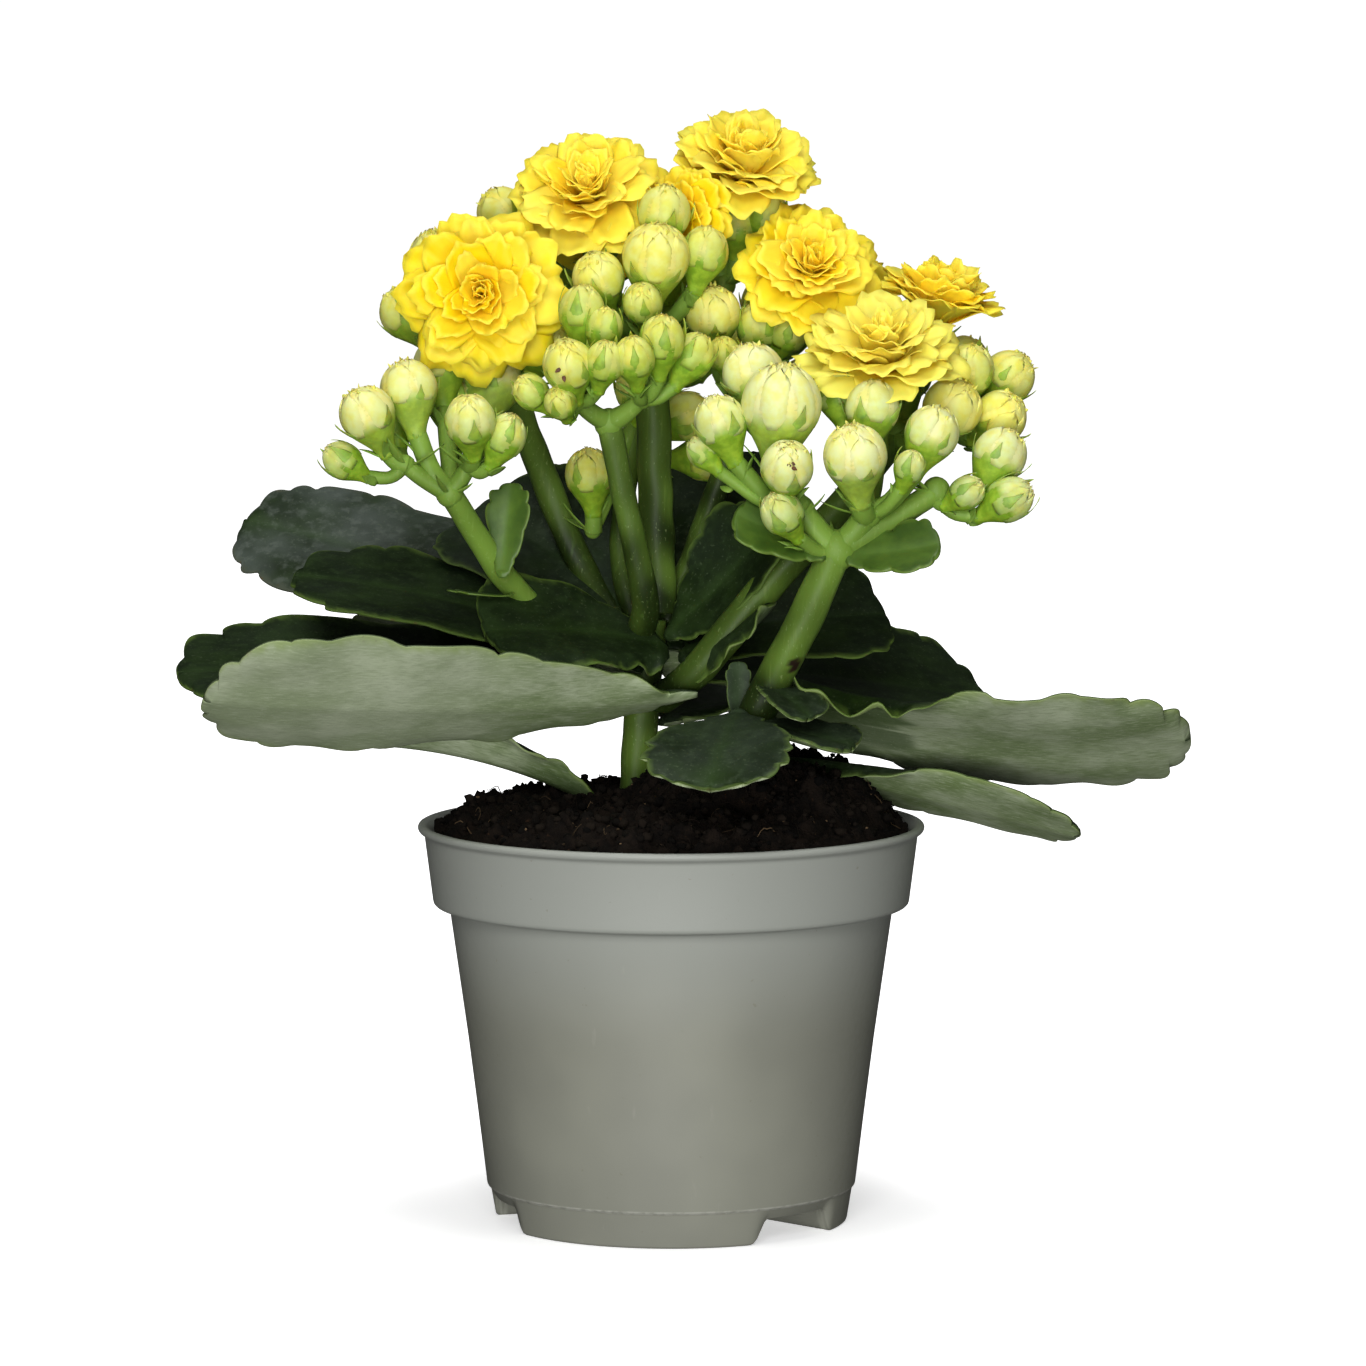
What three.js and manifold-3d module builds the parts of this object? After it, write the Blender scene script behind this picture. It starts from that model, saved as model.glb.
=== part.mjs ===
// A double-flowered kalanchoe growing in a plastic nursery pot, as a three.js scene graph.
// Millimetres, +Z up. The pot's axis is the Z axis and its feet stand on Z = 0. The plant's front faces -Y.
import * as THREE from "three";
import { mergeVertices } from "three/addons/utils/BufferGeometryUtils.js";
import Module from "manifold-3d";

const wasm = await Module();
wasm.setup();

// ---------------------------------------------------------------- driving dimensions

const GAP = 0.35; // left between pieces that touch

const POT = {
  height: 71,
  lipRadius: 45,
  lipHeight: 1.2,
  collarTopRadius: 43.8,
  collarFootRadius: 42.3,
  collarFoot: 56.6,
  wallTopRadius: 39.4,
  wallFootRadius: 32.8,
  bandTop: 6.2, // a fine step runs round the wall just above the feet
  bandRadius: 32.3,
  footRadius: 31.3,
  thickness: 1.3,
  channelHeight: 4.4, // three channels cross the underside and leave three feet
  channelWidth: 16.5,
  channelStart: 12, // the middle of the underside is flat and level with the feet
  channelAngles: [-44.5, 75.5, 195.5], // degrees from +X
  holeRadius: 3,
  segments: 32,
};

const SOIL = {
  edge: 68, // height of the soil where it meets the pot
  crown: 81.3, // height of the mound round the stems
  crownAt: [14.5, 1.5],
  crownSpread: 22.5,
  shoulder: 74.5, // height around the crown
  shoulderRadius: 41,
  rings: 5,
  segments: 24,
};

const LEAF = {
  stalkHalfWidth: 2.1,
  edgeThickness: 0.9,
  ribThickness: 2.0,
  lobeDepth: 1.9,
  lobeStart: 44, // degrees along the half outline where the scallops begin
  lobeDrift: 0.2, // how uneven the scallops are
  obovate: 0.4, // how far the broadest part lies beyond the middle
  broadest: 1.07, // what that makes of the width
  blunt: 0.8, // how blunt the leaf's end is: 1 makes it an ellipse's
  stalk: 0.06, // share of the length
  skinStep: 4, // inner rows keep every fourth point of the outline
};

const TRUNK = {
  path: [[-6.5, 2, 60], [-6.3, 2, 78], [-5, 2, 93], [-4.2, 2, 107]],
  radii: [2.8, 2.8, 3.1, 3.3],
};
const SIDE_STEM = {
  path: [[11, -9, 60], [12, -13.5, 76], [13.6, -19, 88.5]],
  radii: [2.8, 2.8, 3.2],
};

// foot: where the leaf leaves its stem. heading: degrees from +X, seen from above. pitch: climb at the foot and at
// the tip. roll: turn about its own length, and twist: how much it changes along the leaf. fold and curl: how steeply
// each half rises from the midrib, and how much steeper it is at its margin. bend: change of heading along the leaf.
// lobes, deep: how many scallops a side has, and how deep they are against the usual. sharp: they are teeth instead.
// base: half-width at the foot, for a leaf that clasps its stem. rooted: the leaf lies partly in the soil.
const LEAVES = [
  {
    name: "leaf_front_left", foot: [4.5, -13, 95.2], heading: 192.2, length: 87.2, width: 41, pitch: [-3.1, 5.1],
    fold: 3, curl: 7.5, roll: 33.9, lobes: 7, deep: 1.3,
  },
  {
    name: "leaf_left", foot: [-5, -1, 98], heading: 176, length: 64.7, width: 38.9, pitch: [24.4, 4.4], fold: 2,
    curl: 10.6, roll: -13.3, lobes: 5, deep: 2,
  },
  {
    name: "leaf_left_back", foot: [-7, 10, 105.5], heading: 160, length: 77.2, width: 30.7, pitch: [12.9, 11.4],
    fold: 4, curl: -9, roll: -34.1, lobes: 7, deep: 1.6,
  },
  {
    name: "leaf_left_dark", foot: [-6, 7.7, 94.65], heading: 188.7, length: 82.2, width: 45.6,
    pitch: [5.4, -1.3], fold: 4, curl: 6.2, roll: -14.1, lobes: 5, deep: 2,
  },
  {
    name: "leaf_front", foot: [-0.8, -5.8, 102.25], heading: 200, length: 34, width: 31, pitch: [16, -3],
    fold: 4, curl: 26, roll: -26, lobes: 5, base: 6,
  },
  {
    name: "leaf_front_right", foot: [-1, -1.5, 104], heading: -8, length: 29, width: 25, pitch: [38, 56],
    fold: 12, curl: 24, roll: 44, lobes: 5, deep: 1.4,
  },
  {
    name: "leaf_front_bowl", foot: [1.4, -6.4, 101], heading: -6, length: 20, width: 24, pitch: [14, 52],
    fold: 8, curl: 40, roll: 12, lobes: 4, base: 5, deep: 1.5,
  },
  {
    name: "leaf_dark_back", foot: [-6, 6, 106], heading: 139, length: 43, width: 35, pitch: [32, 18], fold: 8,
    curl: 20, roll: -30, lobes: 6,
  },
  {
    name: "leaf_front_low", foot: [12, -22.5, 93], heading: 258, length: 28, width: 27, pitch: [-10, -34],
    fold: 4, curl: 14, lobes: 6, deep: 1.5, sharp: 1,
  },
  {
    name: "leaf_front_low_right", foot: [13.2, -21, 92], heading: -28, length: 21, width: 17, pitch: [-16, -8],
    fold: 8, curl: 20, roll: 6, lobes: 5,
  },
  {
    name: "leaf_right", foot: [16, -9, 95.2], heading: -4, length: 76.1, width: 42.5, pitch: [-17.5, 7],
    fold: -7.4, curl: 15.2, roll: -28.3, lobes: 7, deep: 1.5, base: 15,
  },
  {
    name: "leaf_right_low", foot: [14.1, 3.8, 82], heading: -13.7, length: 60.8, width: 23.9, pitch: [-7.8, -14],
    fold: 1.4, curl: 5.3, roll: -27.1, lobes: 6, deep: 1.6, rooted: 1,
  },
  {
    name: "leaf_back_upper", foot: [-0.5, 6.5, 105], heading: 58, length: 42, width: 30, pitch: [56, 34],
    fold: 8, curl: 20, lobes: 4,
  },
  {
    name: "leaf_right_back", foot: [0, 6, 97], heading: 20, length: 62, width: 42, pitch: [-2, -12], fold: 6,
    curl: 14, roll: 20, lobes: 7,
  },
  {
    name: "leaf_right_upper", foot: [-1, 4, 102], heading: 14, length: 41, width: 34, pitch: [12, 0], fold: 8,
    curl: 20, roll: 30, lobes: 6,
  },
  {
    name: "leaf_left_low", foot: [-10, 7.6, 72.2], heading: 190.7, length: 52.3, width: 24, pitch: [30.5, 0.3],
    fold: 31.4, curl: 22.9, lobes: 6, roll: 13, rooted: 1,
  },
  {
    name: "leaf_back_left", foot: [-7, 6, 97.8], heading: 133, length: 64, width: 41, pitch: [6, -8], fold: 16,
    curl: 16, lobes: 5,
  },
  {
    name: "leaf_back", foot: [-4.5, 7, 99], heading: 94, length: 70, width: 45.4, pitch: [16.4, -6], fold: 14,
    curl: 16, lobes: 5,
  },
  {
    name: "leaf_back_right", foot: [-2, 7, 88], heading: 60, length: 72, width: 44, pitch: [4, -6], fold: 16,
    curl: 18, lobes: 5,
  },
];

// Each cyme: a stalk, the fork that it ends in, side forks, and buds as [x, y, z, radius, fork].
// Bracts are small leaves on the stalk.
const CYMES = [
  {
    name: "cyme_left",
    stalk: {
      path: [[-8, 3, 101], [-19, -1, 106], [-28.5, -8, 114.5], [-38.5, -19, 131]],
      radii: [2.1, 2.1, 2.2, 2.0],
    },
    forks: [[-38.5, -19, 131], [-46, -21, 136], [-35, -20, 136]],
    buds: [
      [-52.5, -24, 145, 4.8, 1], [-45.5, -18, 149, 5.0, 0], [-40.5, -7.5, 152.4, 4.6, 0], [-34.6, -27, 144, 4.2, 2],
      [-28.8, -24, 141, 3.4, 2], [-56.7, -23, 136.8, 3.0, 1], [-31, -7, 149.4, 5.0, 2], [-49, -10, 143, 4.2, 1],
      [-38.5, -4, 146, 4.2, 0],
    ],
    bracts: [
      { foot: [-29.5, -14.5, 115.8], heading: 70, length: 17, width: 9, pitch: [72, 76], lobes: 3 },
      { foot: [-27.5, -10.5, 112.6], heading: 190, length: 12, width: 4.5, pitch: [-4, 14], lobes: 2 },
    ],
  },
  {
    name: "cyme_upper_left",
    stalk: { path: [[-8, 5, 103], [-16, 16, 115], [-23.5, 17, 133], [-29, 4, 150]], radii: [2.6, 2.6, 2.6, 2.3] },
    forks: [[-29, 4, 150], [-37, 5, 157]],
    buds: [
      [-41, 3, 170.5, 5.4, 1], [-22, -7.5, 156, 4.4, 0], [-47, 8, 161, 4.6, 1], [-33, 15, 164, 4.8, 1],
      [-24, 14, 159, 4.2, 0],
    ],
  },
  {
    name: "cyme_front",
    stalk: {
      path: [[-5.5, -2.5, 104], [-4.6, -9, 112], [-7.6, -13.5, 127], [-10.8, -17, 143]],
      radii: [2.5, 2.4, 2.2, 2.1],
    },
    forks: [[-10.8, -17, 143], [-16.5, -21, 147.5], [-5, -20, 147.5]],
    buds: [
      [-15.4, -19, 162.4, 3.8, 1], [-11.6, -21.5, 159.6, 3.0, 1], [-17.6, -28, 153.6, 4.3, 1],
      [-11.4, -29, 154.2, 3.2, 1], [-6.3, -28.5, 154.8, 3.3, 2], [-1.6, -24.5, 157.6, 3.7, 2],
      [-24, -24.5, 148.8, 2.8, 1], [-19, -28, 147.2, 2.6, 1], [3.6, -19, 154.6, 3.5, 2],
    ],
  },
  {
    name: "cyme_top",
    stalk: { path: [[-2.4, 2.2, 108], [-2.4, 3, 118], [-3, 3.5, 135], [-3.3, 3, 150]], radii: [3.2, 3.1, 3, 2.9] },
    forks: [[-3.3, 3, 150], [-5, -4, 159], [9, 8, 166], [-12, 4, 166]],
    buds: [
      [-2.6, -13.5, 171.8, 5.9, 1], [-12.6, -13, 168, 4.4, 1], [-4.9, -17, 163.8, 3.2, 1], [5.8, -9, 172.2, 4.0, 1],
      [-1.2, -9.5, 179.2, 4.5, 1], [17, 5.5, 178.2, 3.3, 2], [11.8, 7, 176.4, 3.5, 2], [-29.6, 7, 178.5, 4.6, 3],
    ],
  },
  {
    name: "cyme_mid_right",
    stalk: { path: [[-1, 4.5, 106], [4, 8, 118], [9, 10, 132], [13, 6, 146]], radii: [2.2, 2.2, 2.0, 1.8] },
    forks: [[13, 6, 146], [17, 2, 154]],
    buds: [
      [7.3, -5, 161.5, 4.9, 0], [15.4, -3, 159, 3.7, 1], [9.3, -11.5, 154.6, 2.7, 0], [20.5, -4, 158, 3.2, 1],
      [27, 8, 163, 3.8, 1],
    ],
  },
  {
    name: "cyme_right",
    stalk: {
      path: [[13.4, -19, 89.3], [17.5, -21.5, 98], [23, -24, 109], [28.6, -25.5, 121.5]],
      radii: [3.2, 3.1, 3.0, 2.9],
    },
    forks: [[28.6, -25.5, 121.5], [22.5, -26, 128.5], [34, -26, 128], [46, -22, 131.5]],
    buds: [
      [14.3, -20, 151.6, 5.4, 1], [19, -29, 147, 6.9, 1], [8.6, -29, 143.8, 4.4, 1], [5.6, -27.5, 138.6, 2.5, 1],
      [19.9, -35, 136.6, 4.4, 1], [31.6, -33.5, 138.4, 5.5, 2], [34.8, -24.5, 146, 4.6, 2], [45, -27, 141.8, 4.6, 2],
      [29.2, -18, 147.8, 3.6, 2], [41, -31, 136.2, 2.5, 2], [57, -20, 137.6, 4.6, 3], [58.4, -24, 130.2, 3.6, 3],
      [51, -25, 131.4, 2.7, 3], [19.2, -33, 128.5, 3.4, 0],
    ],
    bracts: [
      { foot: [27.5, -27, 121], heading: 184, length: 18, width: 14, pitch: [20, 25], lobes: 3, roll: -50 },
      { foot: [30, -27, 120.6], heading: -12, length: 17, width: 13, pitch: [2, 14], lobes: 3, roll: 45 },
      { foot: [16, -22, 97.6], heading: -50, length: 13, width: 13, pitch: [-10, -34], lobes: 3 },
      { foot: [12, -20, 89.6], heading: 100, length: 12, width: 5, pitch: [78, 84], lobes: 2 },
    ],
  },
  {
    name: "cyme_far_right",
    stalk: {
      path: [[-2, -2.5, 93], [5, -10, 99.5], [17, -10, 114], [30, -8, 128], [40, -3, 140]],
      radii: [2.8, 2.9, 2.9, 2.7, 2.2],
    },
    forks: [[40, -3, 140], [50, -1, 145]],
    buds: [
      [52.2, -8, 151.6, 4.2, 1], [59.3, -1, 150, 4.6, 1], [49, -14.5, 145.6, 5.2, 0], [57.5, -10, 143.6, 4.6, 1],
      [52, 10, 152, 4.4, 1], [42, 9, 150, 4.2, 0],
    ],
  },
  {
    name: "cyme_back",
    stalk: { path: [[-6, 6, 105], [-9, 12, 117], [-8, 17, 130], [-6, 20, 142]], radii: [2.2, 2.0, 1.9, 1.8] },
    forks: [[-6, 20, 142], [-14, 13, 122], [0, 24, 150]],
    buds: [
      [-14.5, 11, 132, 4.2, 1], [-6, 16, 147, 3.8, 0], [2.5, 18, 142, 4.2, 0], [6, 20, 134.5, 4.0, 0],
      [-14, 28, 154, 4.4, 2], [-2, 32, 152, 4.4, 2], [8, 29, 155, 4.6, 2], [-20, 24, 160, 4.2, 2],
      [0, 20, 170, 4.6, 2],
    ],
  },
  {
    name: "cyme_back_right",
    stalk: { path: [[-0.5, 6, 104], [8, 15, 115], [18, 21, 130], [24, 22, 144]], radii: [2.4, 2.3, 2.2, 2.0] },
    forks: [[24, 22, 144], [31, 22, 150]],
    buds: [
      [16, 28, 150, 4.6, 0], [33, 31, 152, 4.8, 1], [40, 22, 154, 4.6, 1], [24, 33, 147, 4.2, 0],
      [17, 20, 162, 4.4, 0], [37, 15, 158, 4.2, 1],
    ],
  },
];

// on: the cyme that the flower grows on, and which of its forks. centre: the middle of the flower's back. facing: the
// way that it looks. cup: degrees that its petals are still closed by.
const BLOOMS = [
  {
    name: "bloom_left", on: ["cyme_upper_left", 0], centre: [-32.6, -9.5, 165], facing: [-0.06, -0.97, 0.12],
    radius: 15, cup: 0,
  },
  {
    name: "bloom_top_left", on: ["cyme_top", 3], centre: [-14.2, 1, 179.2], facing: [-0.1, -0.68, 0.7],
    radius: 14.5, cup: 6,
  },
  {
    name: "bloom_top", on: ["cyme_top", 2], centre: [4, 1, 178.2], facing: [-0.5, -0.85, 0.06], radius: 9.3,
    cup: 2,
  },
  {
    name: "bloom_top_right", on: ["cyme_top", 2], centre: [12.4, 9, 183.2], facing: [0.14, -0.5, 0.85],
    radius: 14, cup: 12,
  },
  {
    name: "bloom_mid_right", on: ["cyme_mid_right", 1], centre: [23.6, 1, 166.5], facing: [0.16, -0.76, 0.6],
    radius: 13.5, cup: 8,
  },
  {
    name: "bloom_right", on: ["cyme_right", 2], centre: [36.8, -13.5, 151], facing: [-0.04, -0.42, 0.9],
    radius: 15, cup: 5,
  },
  {
    name: "bloom_far_right", on: ["cyme_far_right", 0], centre: [46, 5, 158], facing: [0.22, -0.1, 0.95],
    radius: 13, cup: 24,
  },
  {
    name: "bloom_back", on: ["cyme_back", 2], centre: [-13, 27, 170], facing: [-0.15, 0.6, 0.78], radius: 13,
    cup: 4,
  },
  {
    name: "bloom_back_right", on: ["cyme_back_right", 1], centre: [26.5, 27, 162.5], facing: [0.2, 0.6, 0.78],
    radius: 13.5, cup: 4,
  },
];

// Whorls of petals from the outside in: how many, length and width against the bloom's radius, and climb in degrees
// at the foot and at the tip.
const WHORLS = [
  { petals: 6, reach: 1.0, width: 0.64, climb: [34, -8], turn: 0 },
  { petals: 5, reach: 0.9, width: 0.6, climb: [50, 22], turn: 0.3 },
  { petals: 4, reach: 0.78, width: 0.46, climb: [68, 50], turn: 0.1 },
];
const PETAL_THICKNESS = 0.7;
const BUD_SIDES = 6;
const STEM_SIDES = 6;
const TWIG_SIDES = 4;
const BLOOM_TWIG = 1.7; // radius of the twig under a flower
const FINENESS = { pot: 0.02, soil: 0.12, stem: 0.02, leaf: 0.08, cyme: 0.2, bloom: 0.25 }; // shape kept within this

// ---------------------------------------------------------------- materials

const material = (color, roughness) => new THREE.MeshStandardMaterial({ color, roughness, metalness: 0 });
const MATERIALS = {
  pot: material(0x7d7f74, 0.45),
  soil: material(0x1a120d, 0.95),
  stem: material(0x6f9440, 0.5),
  leaf: material(0x2c4a20, 0.4),
  cyme: material(0xa9c45a, 0.5),
  bloom: material(0xffcf12, 0.55),
};

// ---------------------------------------------------------------- helpers

const vec = (p) => new THREE.Vector3(...p);
const radians = THREE.MathUtils.degToRad;
const mix = THREE.MathUtils.lerp;

// A geometry from points and triangles.
function geometryOf(points, triangles) {
  const geometry = new THREE.BufferGeometry();
  geometry.setAttribute("position", new THREE.Float32BufferAttribute(points.flatMap((p) => p.toArray()), 3));
  geometry.setIndex(triangles.flat());
  return geometry;
}

// A closed geometry as a solid.
function solidOf(geometry) {
  const bare = geometry.clone();
  bare.deleteAttribute("normal");
  bare.deleteAttribute("uv");
  const merged = mergeVertices(bare, 1e-4);
  return new wasm.Manifold(new wasm.Mesh({
    numProp: 3,
    vertProperties: new Float32Array(merged.attributes.position.array),
    triVerts: new Uint32Array(merged.index.array),
  }));
}

// A solid as a named mesh. Loose scraps that a cut leaves are dropped.
function meshOf(name, solid, kind) {
  const parts = solid.asOriginal().simplify(FINENESS[kind]).decompose().sort((a, b) => b.volume() - a.volume());
  const { numProp, numVert, vertProperties, triVerts } = parts[0].getMesh();
  const points = Array.from({ length: numVert }, (_, i) =>
    new THREE.Vector3().fromArray(vertProperties, i * numProp));
  const mesh = new THREE.Mesh(geometryOf(points, Array.from(triVerts)), MATERIALS[kind]);
  mesh.name = name;
  return mesh;
}

const union = (solids) => wasm.Manifold.union(solids);

// Rings of points joined into a closed skin, with a point at each end.
function skin(rings, first, last) {
  const sides = rings[0].length;
  const points = [first, ...rings.flat(), last];
  const triangles = [];
  const at = (ring, side) => 1 + ring * sides + (side % sides);
  for (let side = 0; side < sides; side++) {
    triangles.push([0, at(0, side + 1), at(0, side)]);
    for (let ring = 0; ring + 1 < rings.length; ring++) {
      triangles.push([at(ring, side), at(ring, side + 1), at(ring + 1, side + 1)]);
      triangles.push([at(ring, side), at(ring + 1, side + 1), at(ring + 1, side)]);
    }
    triangles.push([points.length - 1, at(rings.length - 1, side), at(rings.length - 1, side + 1)]);
  }
  return geometryOf(points, triangles);
}

// A round bar along a smooth curve through the points, with a radius at each.
function bar(path, radii, sides, grow = 0, stepsPerSpan = 2) {
  const curve = new THREE.CatmullRomCurve3(path.map(vec), false, "catmullrom", 0.5);
  const spans = path.length - 1;
  const steps = spans * stepsPerSpan;
  const rings = [];
  let across = new THREE.Vector3(1, 0.3, 0.2);
  for (let step = 0; step <= steps; step++) {
    const t = step / steps;
    const span = Math.min(Math.floor(t * spans), spans - 1);
    const radius = grow + mix(radii[span], radii[span + 1], t * spans - span);
    const along = curve.getTangent(t);
    const centre = curve.getPoint(t);
    if (step === 0) centre.addScaledVector(along, -grow);
    if (step === steps) centre.addScaledVector(along, grow);
    across = across.clone().projectOnPlane(along).normalize();
    const third = along.clone().cross(across);
    rings.push(Array.from({ length: sides }, (_, side) => {
      const angle = (2 * Math.PI * side) / sides;
      return centre.clone()
        .addScaledVector(across, radius * Math.cos(angle))
        .addScaledVector(third, radius * Math.sin(angle));
    }));
  }
  const middle = (ring) => ring.reduce((sum, p) => sum.add(p), new THREE.Vector3()).divideScalar(sides);
  return solidOf(skin(rings, middle(rings[0]), middle(rings[rings.length - 1])));
}

// ---------------------------------------------------------------- pot and soil

// A solid of revolution whose profile starts and ends on the axis.
const turned = (profile, segments) =>
  solidOf(new THREE.LatheGeometry(profile.map((p) => new THREE.Vector2(...p)), segments).rotateX(Math.PI / 2));

// The three channels under the pot, from its flat middle outwards. `grow` widens and raises them.
function channels(grow) {
  const length = POT.lipRadius;
  const height = POT.channelHeight + grow;
  const width = POT.channelWidth + 2 * grow;
  const round = 2;
  return union(POT.channelAngles.map((angle) => {
    const outline = new THREE.Shape();
    outline.moveTo(-width / 2 - round / 2, -1);
    outline.lineTo(width / 2 + round / 2, -1);
    outline.lineTo(width / 2, height - round);
    outline.lineTo(width / 2 - round, height);
    outline.lineTo(-width / 2 + round, height);
    outline.lineTo(-width / 2, height - round);
    const block = new THREE.ExtrudeGeometry(outline, { depth: length, bevelEnabled: false });
    block.translate(0, 0, POT.channelStart - grow);
    block.rotateX(Math.PI / 2).rotateZ(Math.PI / 2 + radians(angle));
    return solidOf(block);
  }));
}

// The pot's inside, down to its floor, with the corner under the collar. `shrink` draws it in all round.
function cavity(top, shrink) {
  const t = POT.thickness + shrink;
  return turned([
    [0, t],
    [POT.footRadius - t, t],
    [POT.wallFootRadius - t, POT.bandTop + 1],
    [POT.wallTopRadius - t, POT.collarFoot - 0.6],
    [POT.wallTopRadius - t + 0.4, POT.collarFoot + POT.thickness],
    [POT.collarFootRadius - t, POT.collarFoot + POT.thickness + shrink],
    [POT.collarTopRadius - t, top],
    [0, top],
  ], POT.segments).subtract(channels(t));
}

function pot() {
  const outside = turned([
    [0, 0],
    [POT.footRadius - 0.8, 0],
    [POT.footRadius, 0.8],
    [POT.bandRadius, POT.bandTop],
    [POT.wallFootRadius, POT.bandTop + 0.3],
    [POT.wallTopRadius, POT.collarFoot],
    [POT.collarFootRadius - 0.9, POT.collarFoot],
    [POT.collarFootRadius, POT.collarFoot + 1.2],
    [POT.collarTopRadius, POT.height - POT.lipHeight - 0.5],
    [POT.lipRadius, POT.height - POT.lipHeight],
    [POT.lipRadius, POT.height - 0.3],
    [POT.lipRadius - 0.5, POT.height],
    [0, POT.height],
  ], POT.segments).subtract(channels(0));
  const holes = POT.channelAngles.map((angle) => {
    const hole = new THREE.CylinderGeometry(POT.holeRadius, POT.holeRadius, 20, 12).rotateX(Math.PI / 2);
    const reach = POT.footRadius * 0.62;
    return solidOf(hole.translate(reach * Math.cos(radians(angle)), reach * Math.sin(radians(angle)), 0));
  });
  return outside.subtract(cavity(POT.height + 1, 0)).subtract(union(holes));
}

// The mound's height at a point, with clods as a sum of waves.
function soilHeight(x, y) {
  const reach = Math.hypot(x - SOIL.crownAt[0], y - SOIL.crownAt[1]) / SOIL.crownSpread;
  const clods = 0.9 * Math.sin(0.47 * x + 1.3) * Math.cos(0.41 * y) + 0.6 * Math.sin(0.9 * x - 0.7 * y);
  const shoulder = (SOIL.shoulder - SOIL.edge) * Math.exp(-((Math.hypot(x, y) / SOIL.shoulderRadius) ** 10));
  return SOIL.edge + shoulder + (SOIL.crown - SOIL.shoulder) * Math.exp(-(reach ** 8)) + clods;
}

function soil(grown) {
  const radius = POT.collarTopRadius - POT.thickness - GAP - 0.35;
  const points = [new THREE.Vector3(0, 0, soilHeight(0, 0))];
  for (let ring = 1; ring <= SOIL.rings; ring++) {
    for (let side = 0; side < SOIL.segments; side++) {
      const angle = (2 * Math.PI * (side + 0.5 * (ring % 2))) / SOIL.segments;
      const reach = (radius * ring) / SOIL.rings;
      const x = reach * Math.cos(angle);
      const y = reach * Math.sin(angle);
      points.push(new THREE.Vector3(x, y, soilHeight(x, y)));
    }
  }
  const n = SOIL.segments;
  const top = points.length;
  const rim = top - n;
  const floor = points.slice(rim).map((p) => new THREE.Vector3(p.x, p.y, 0));
  points.push(...floor, new THREE.Vector3(0, 0, 0));
  const at = (ring, side) => (ring === 0 ? 0 : 1 + (ring - 1) * n + (side % n));
  const triangles = [];
  for (let side = 0; side < n; side++) {
    triangles.push([0, at(1, side), at(1, side + 1)]);
    for (let ring = 1; ring < SOIL.rings; ring++) {
      const lean = ring % 2; // odd rings sit half a step round
      const [a, b, c, d] = [at(ring, side), at(ring, side + 1), at(ring + 1, side), at(ring + 1, side + 1)];
      triangles.push(...(lean ? [[a, d, b], [a, c, d]] : [[a, c, b], [b, c, d]]));
    }
    triangles.push([rim + side, top + side, top + ((side + 1) % n)]);
    triangles.push([rim + side, top + ((side + 1) % n), rim + ((side + 1) % n)]);
    triangles.push([top + n, top + ((side + 1) % n), top + side]);
  }
  return solidOf(geometryOf(points, triangles))
    .intersect(cavity(SOIL.crown + 20, GAP))
    .subtract(union(grown));
}

// ---------------------------------------------------------------- leaves

// One side of a leaf's outline, from the foot of its stalk to its tip, as [distance along, half-width].
function leafOutline(leaf, grow) {
  const small = leaf.length < 22;
  const stalk = leaf.length * (leaf.stalk ?? LEAF.stalk);
  const stalkHalf = leaf.base ?? Math.min(LEAF.stalkHalfWidth, leaf.width * 0.16);
  const blade = leaf.length - stalk;
  const depth = LEAF.lobeDepth * (leaf.deep ?? 1) * (small ? 0.45 : leaf.width / 44);
  const points = [[-grow, stalkHalf + grow], [stalk * 0.7, stalkHalf + grow]];
  const place = (turn, inset) => {
    const angle = radians(turn);
    const blunt = turn > 90 ? leaf.blunt ?? LEAF.blunt : 1;
    const half = (leaf.width / 2 / LEAF.broadest) * Math.sin(angle) ** blunt * (1 - LEAF.obovate * Math.cos(angle));
    const end = Math.sign(Math.cos(angle)) * Math.abs(Math.cos(angle)) ** blunt;
    const along = stalk + (blade * (1 - end)) / 2;
    points.push([along + (grow - inset) * -Math.cos(angle), Math.max(half + (grow - inset) * Math.sin(angle), 0)]);
  };
  place(24, 0);
  const share = (180 - LEAF.lobeStart) / (leaf.lobes + 0.5);
  const notch = (lobe) => LEAF.lobeStart + share * (lobe + LEAF.lobeDrift * Math.sin(2.4 * lobe + leaf.length));
  for (let lobe = 0; lobe <= leaf.lobes; lobe++) {
    const start = notch(lobe);
    const reach = notch(lobe + 1) - start;
    place(start, depth * (0.75 + 0.35 * Math.sin(1.7 * lobe + leaf.width)));
    if (!leaf.sharp) place(start + reach * 0.2, 0);
    if (lobe < leaf.lobes) place(start + reach * 0.8, 0);
  }
  points.push([leaf.length + grow, 0]);
  return points;
}

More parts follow.
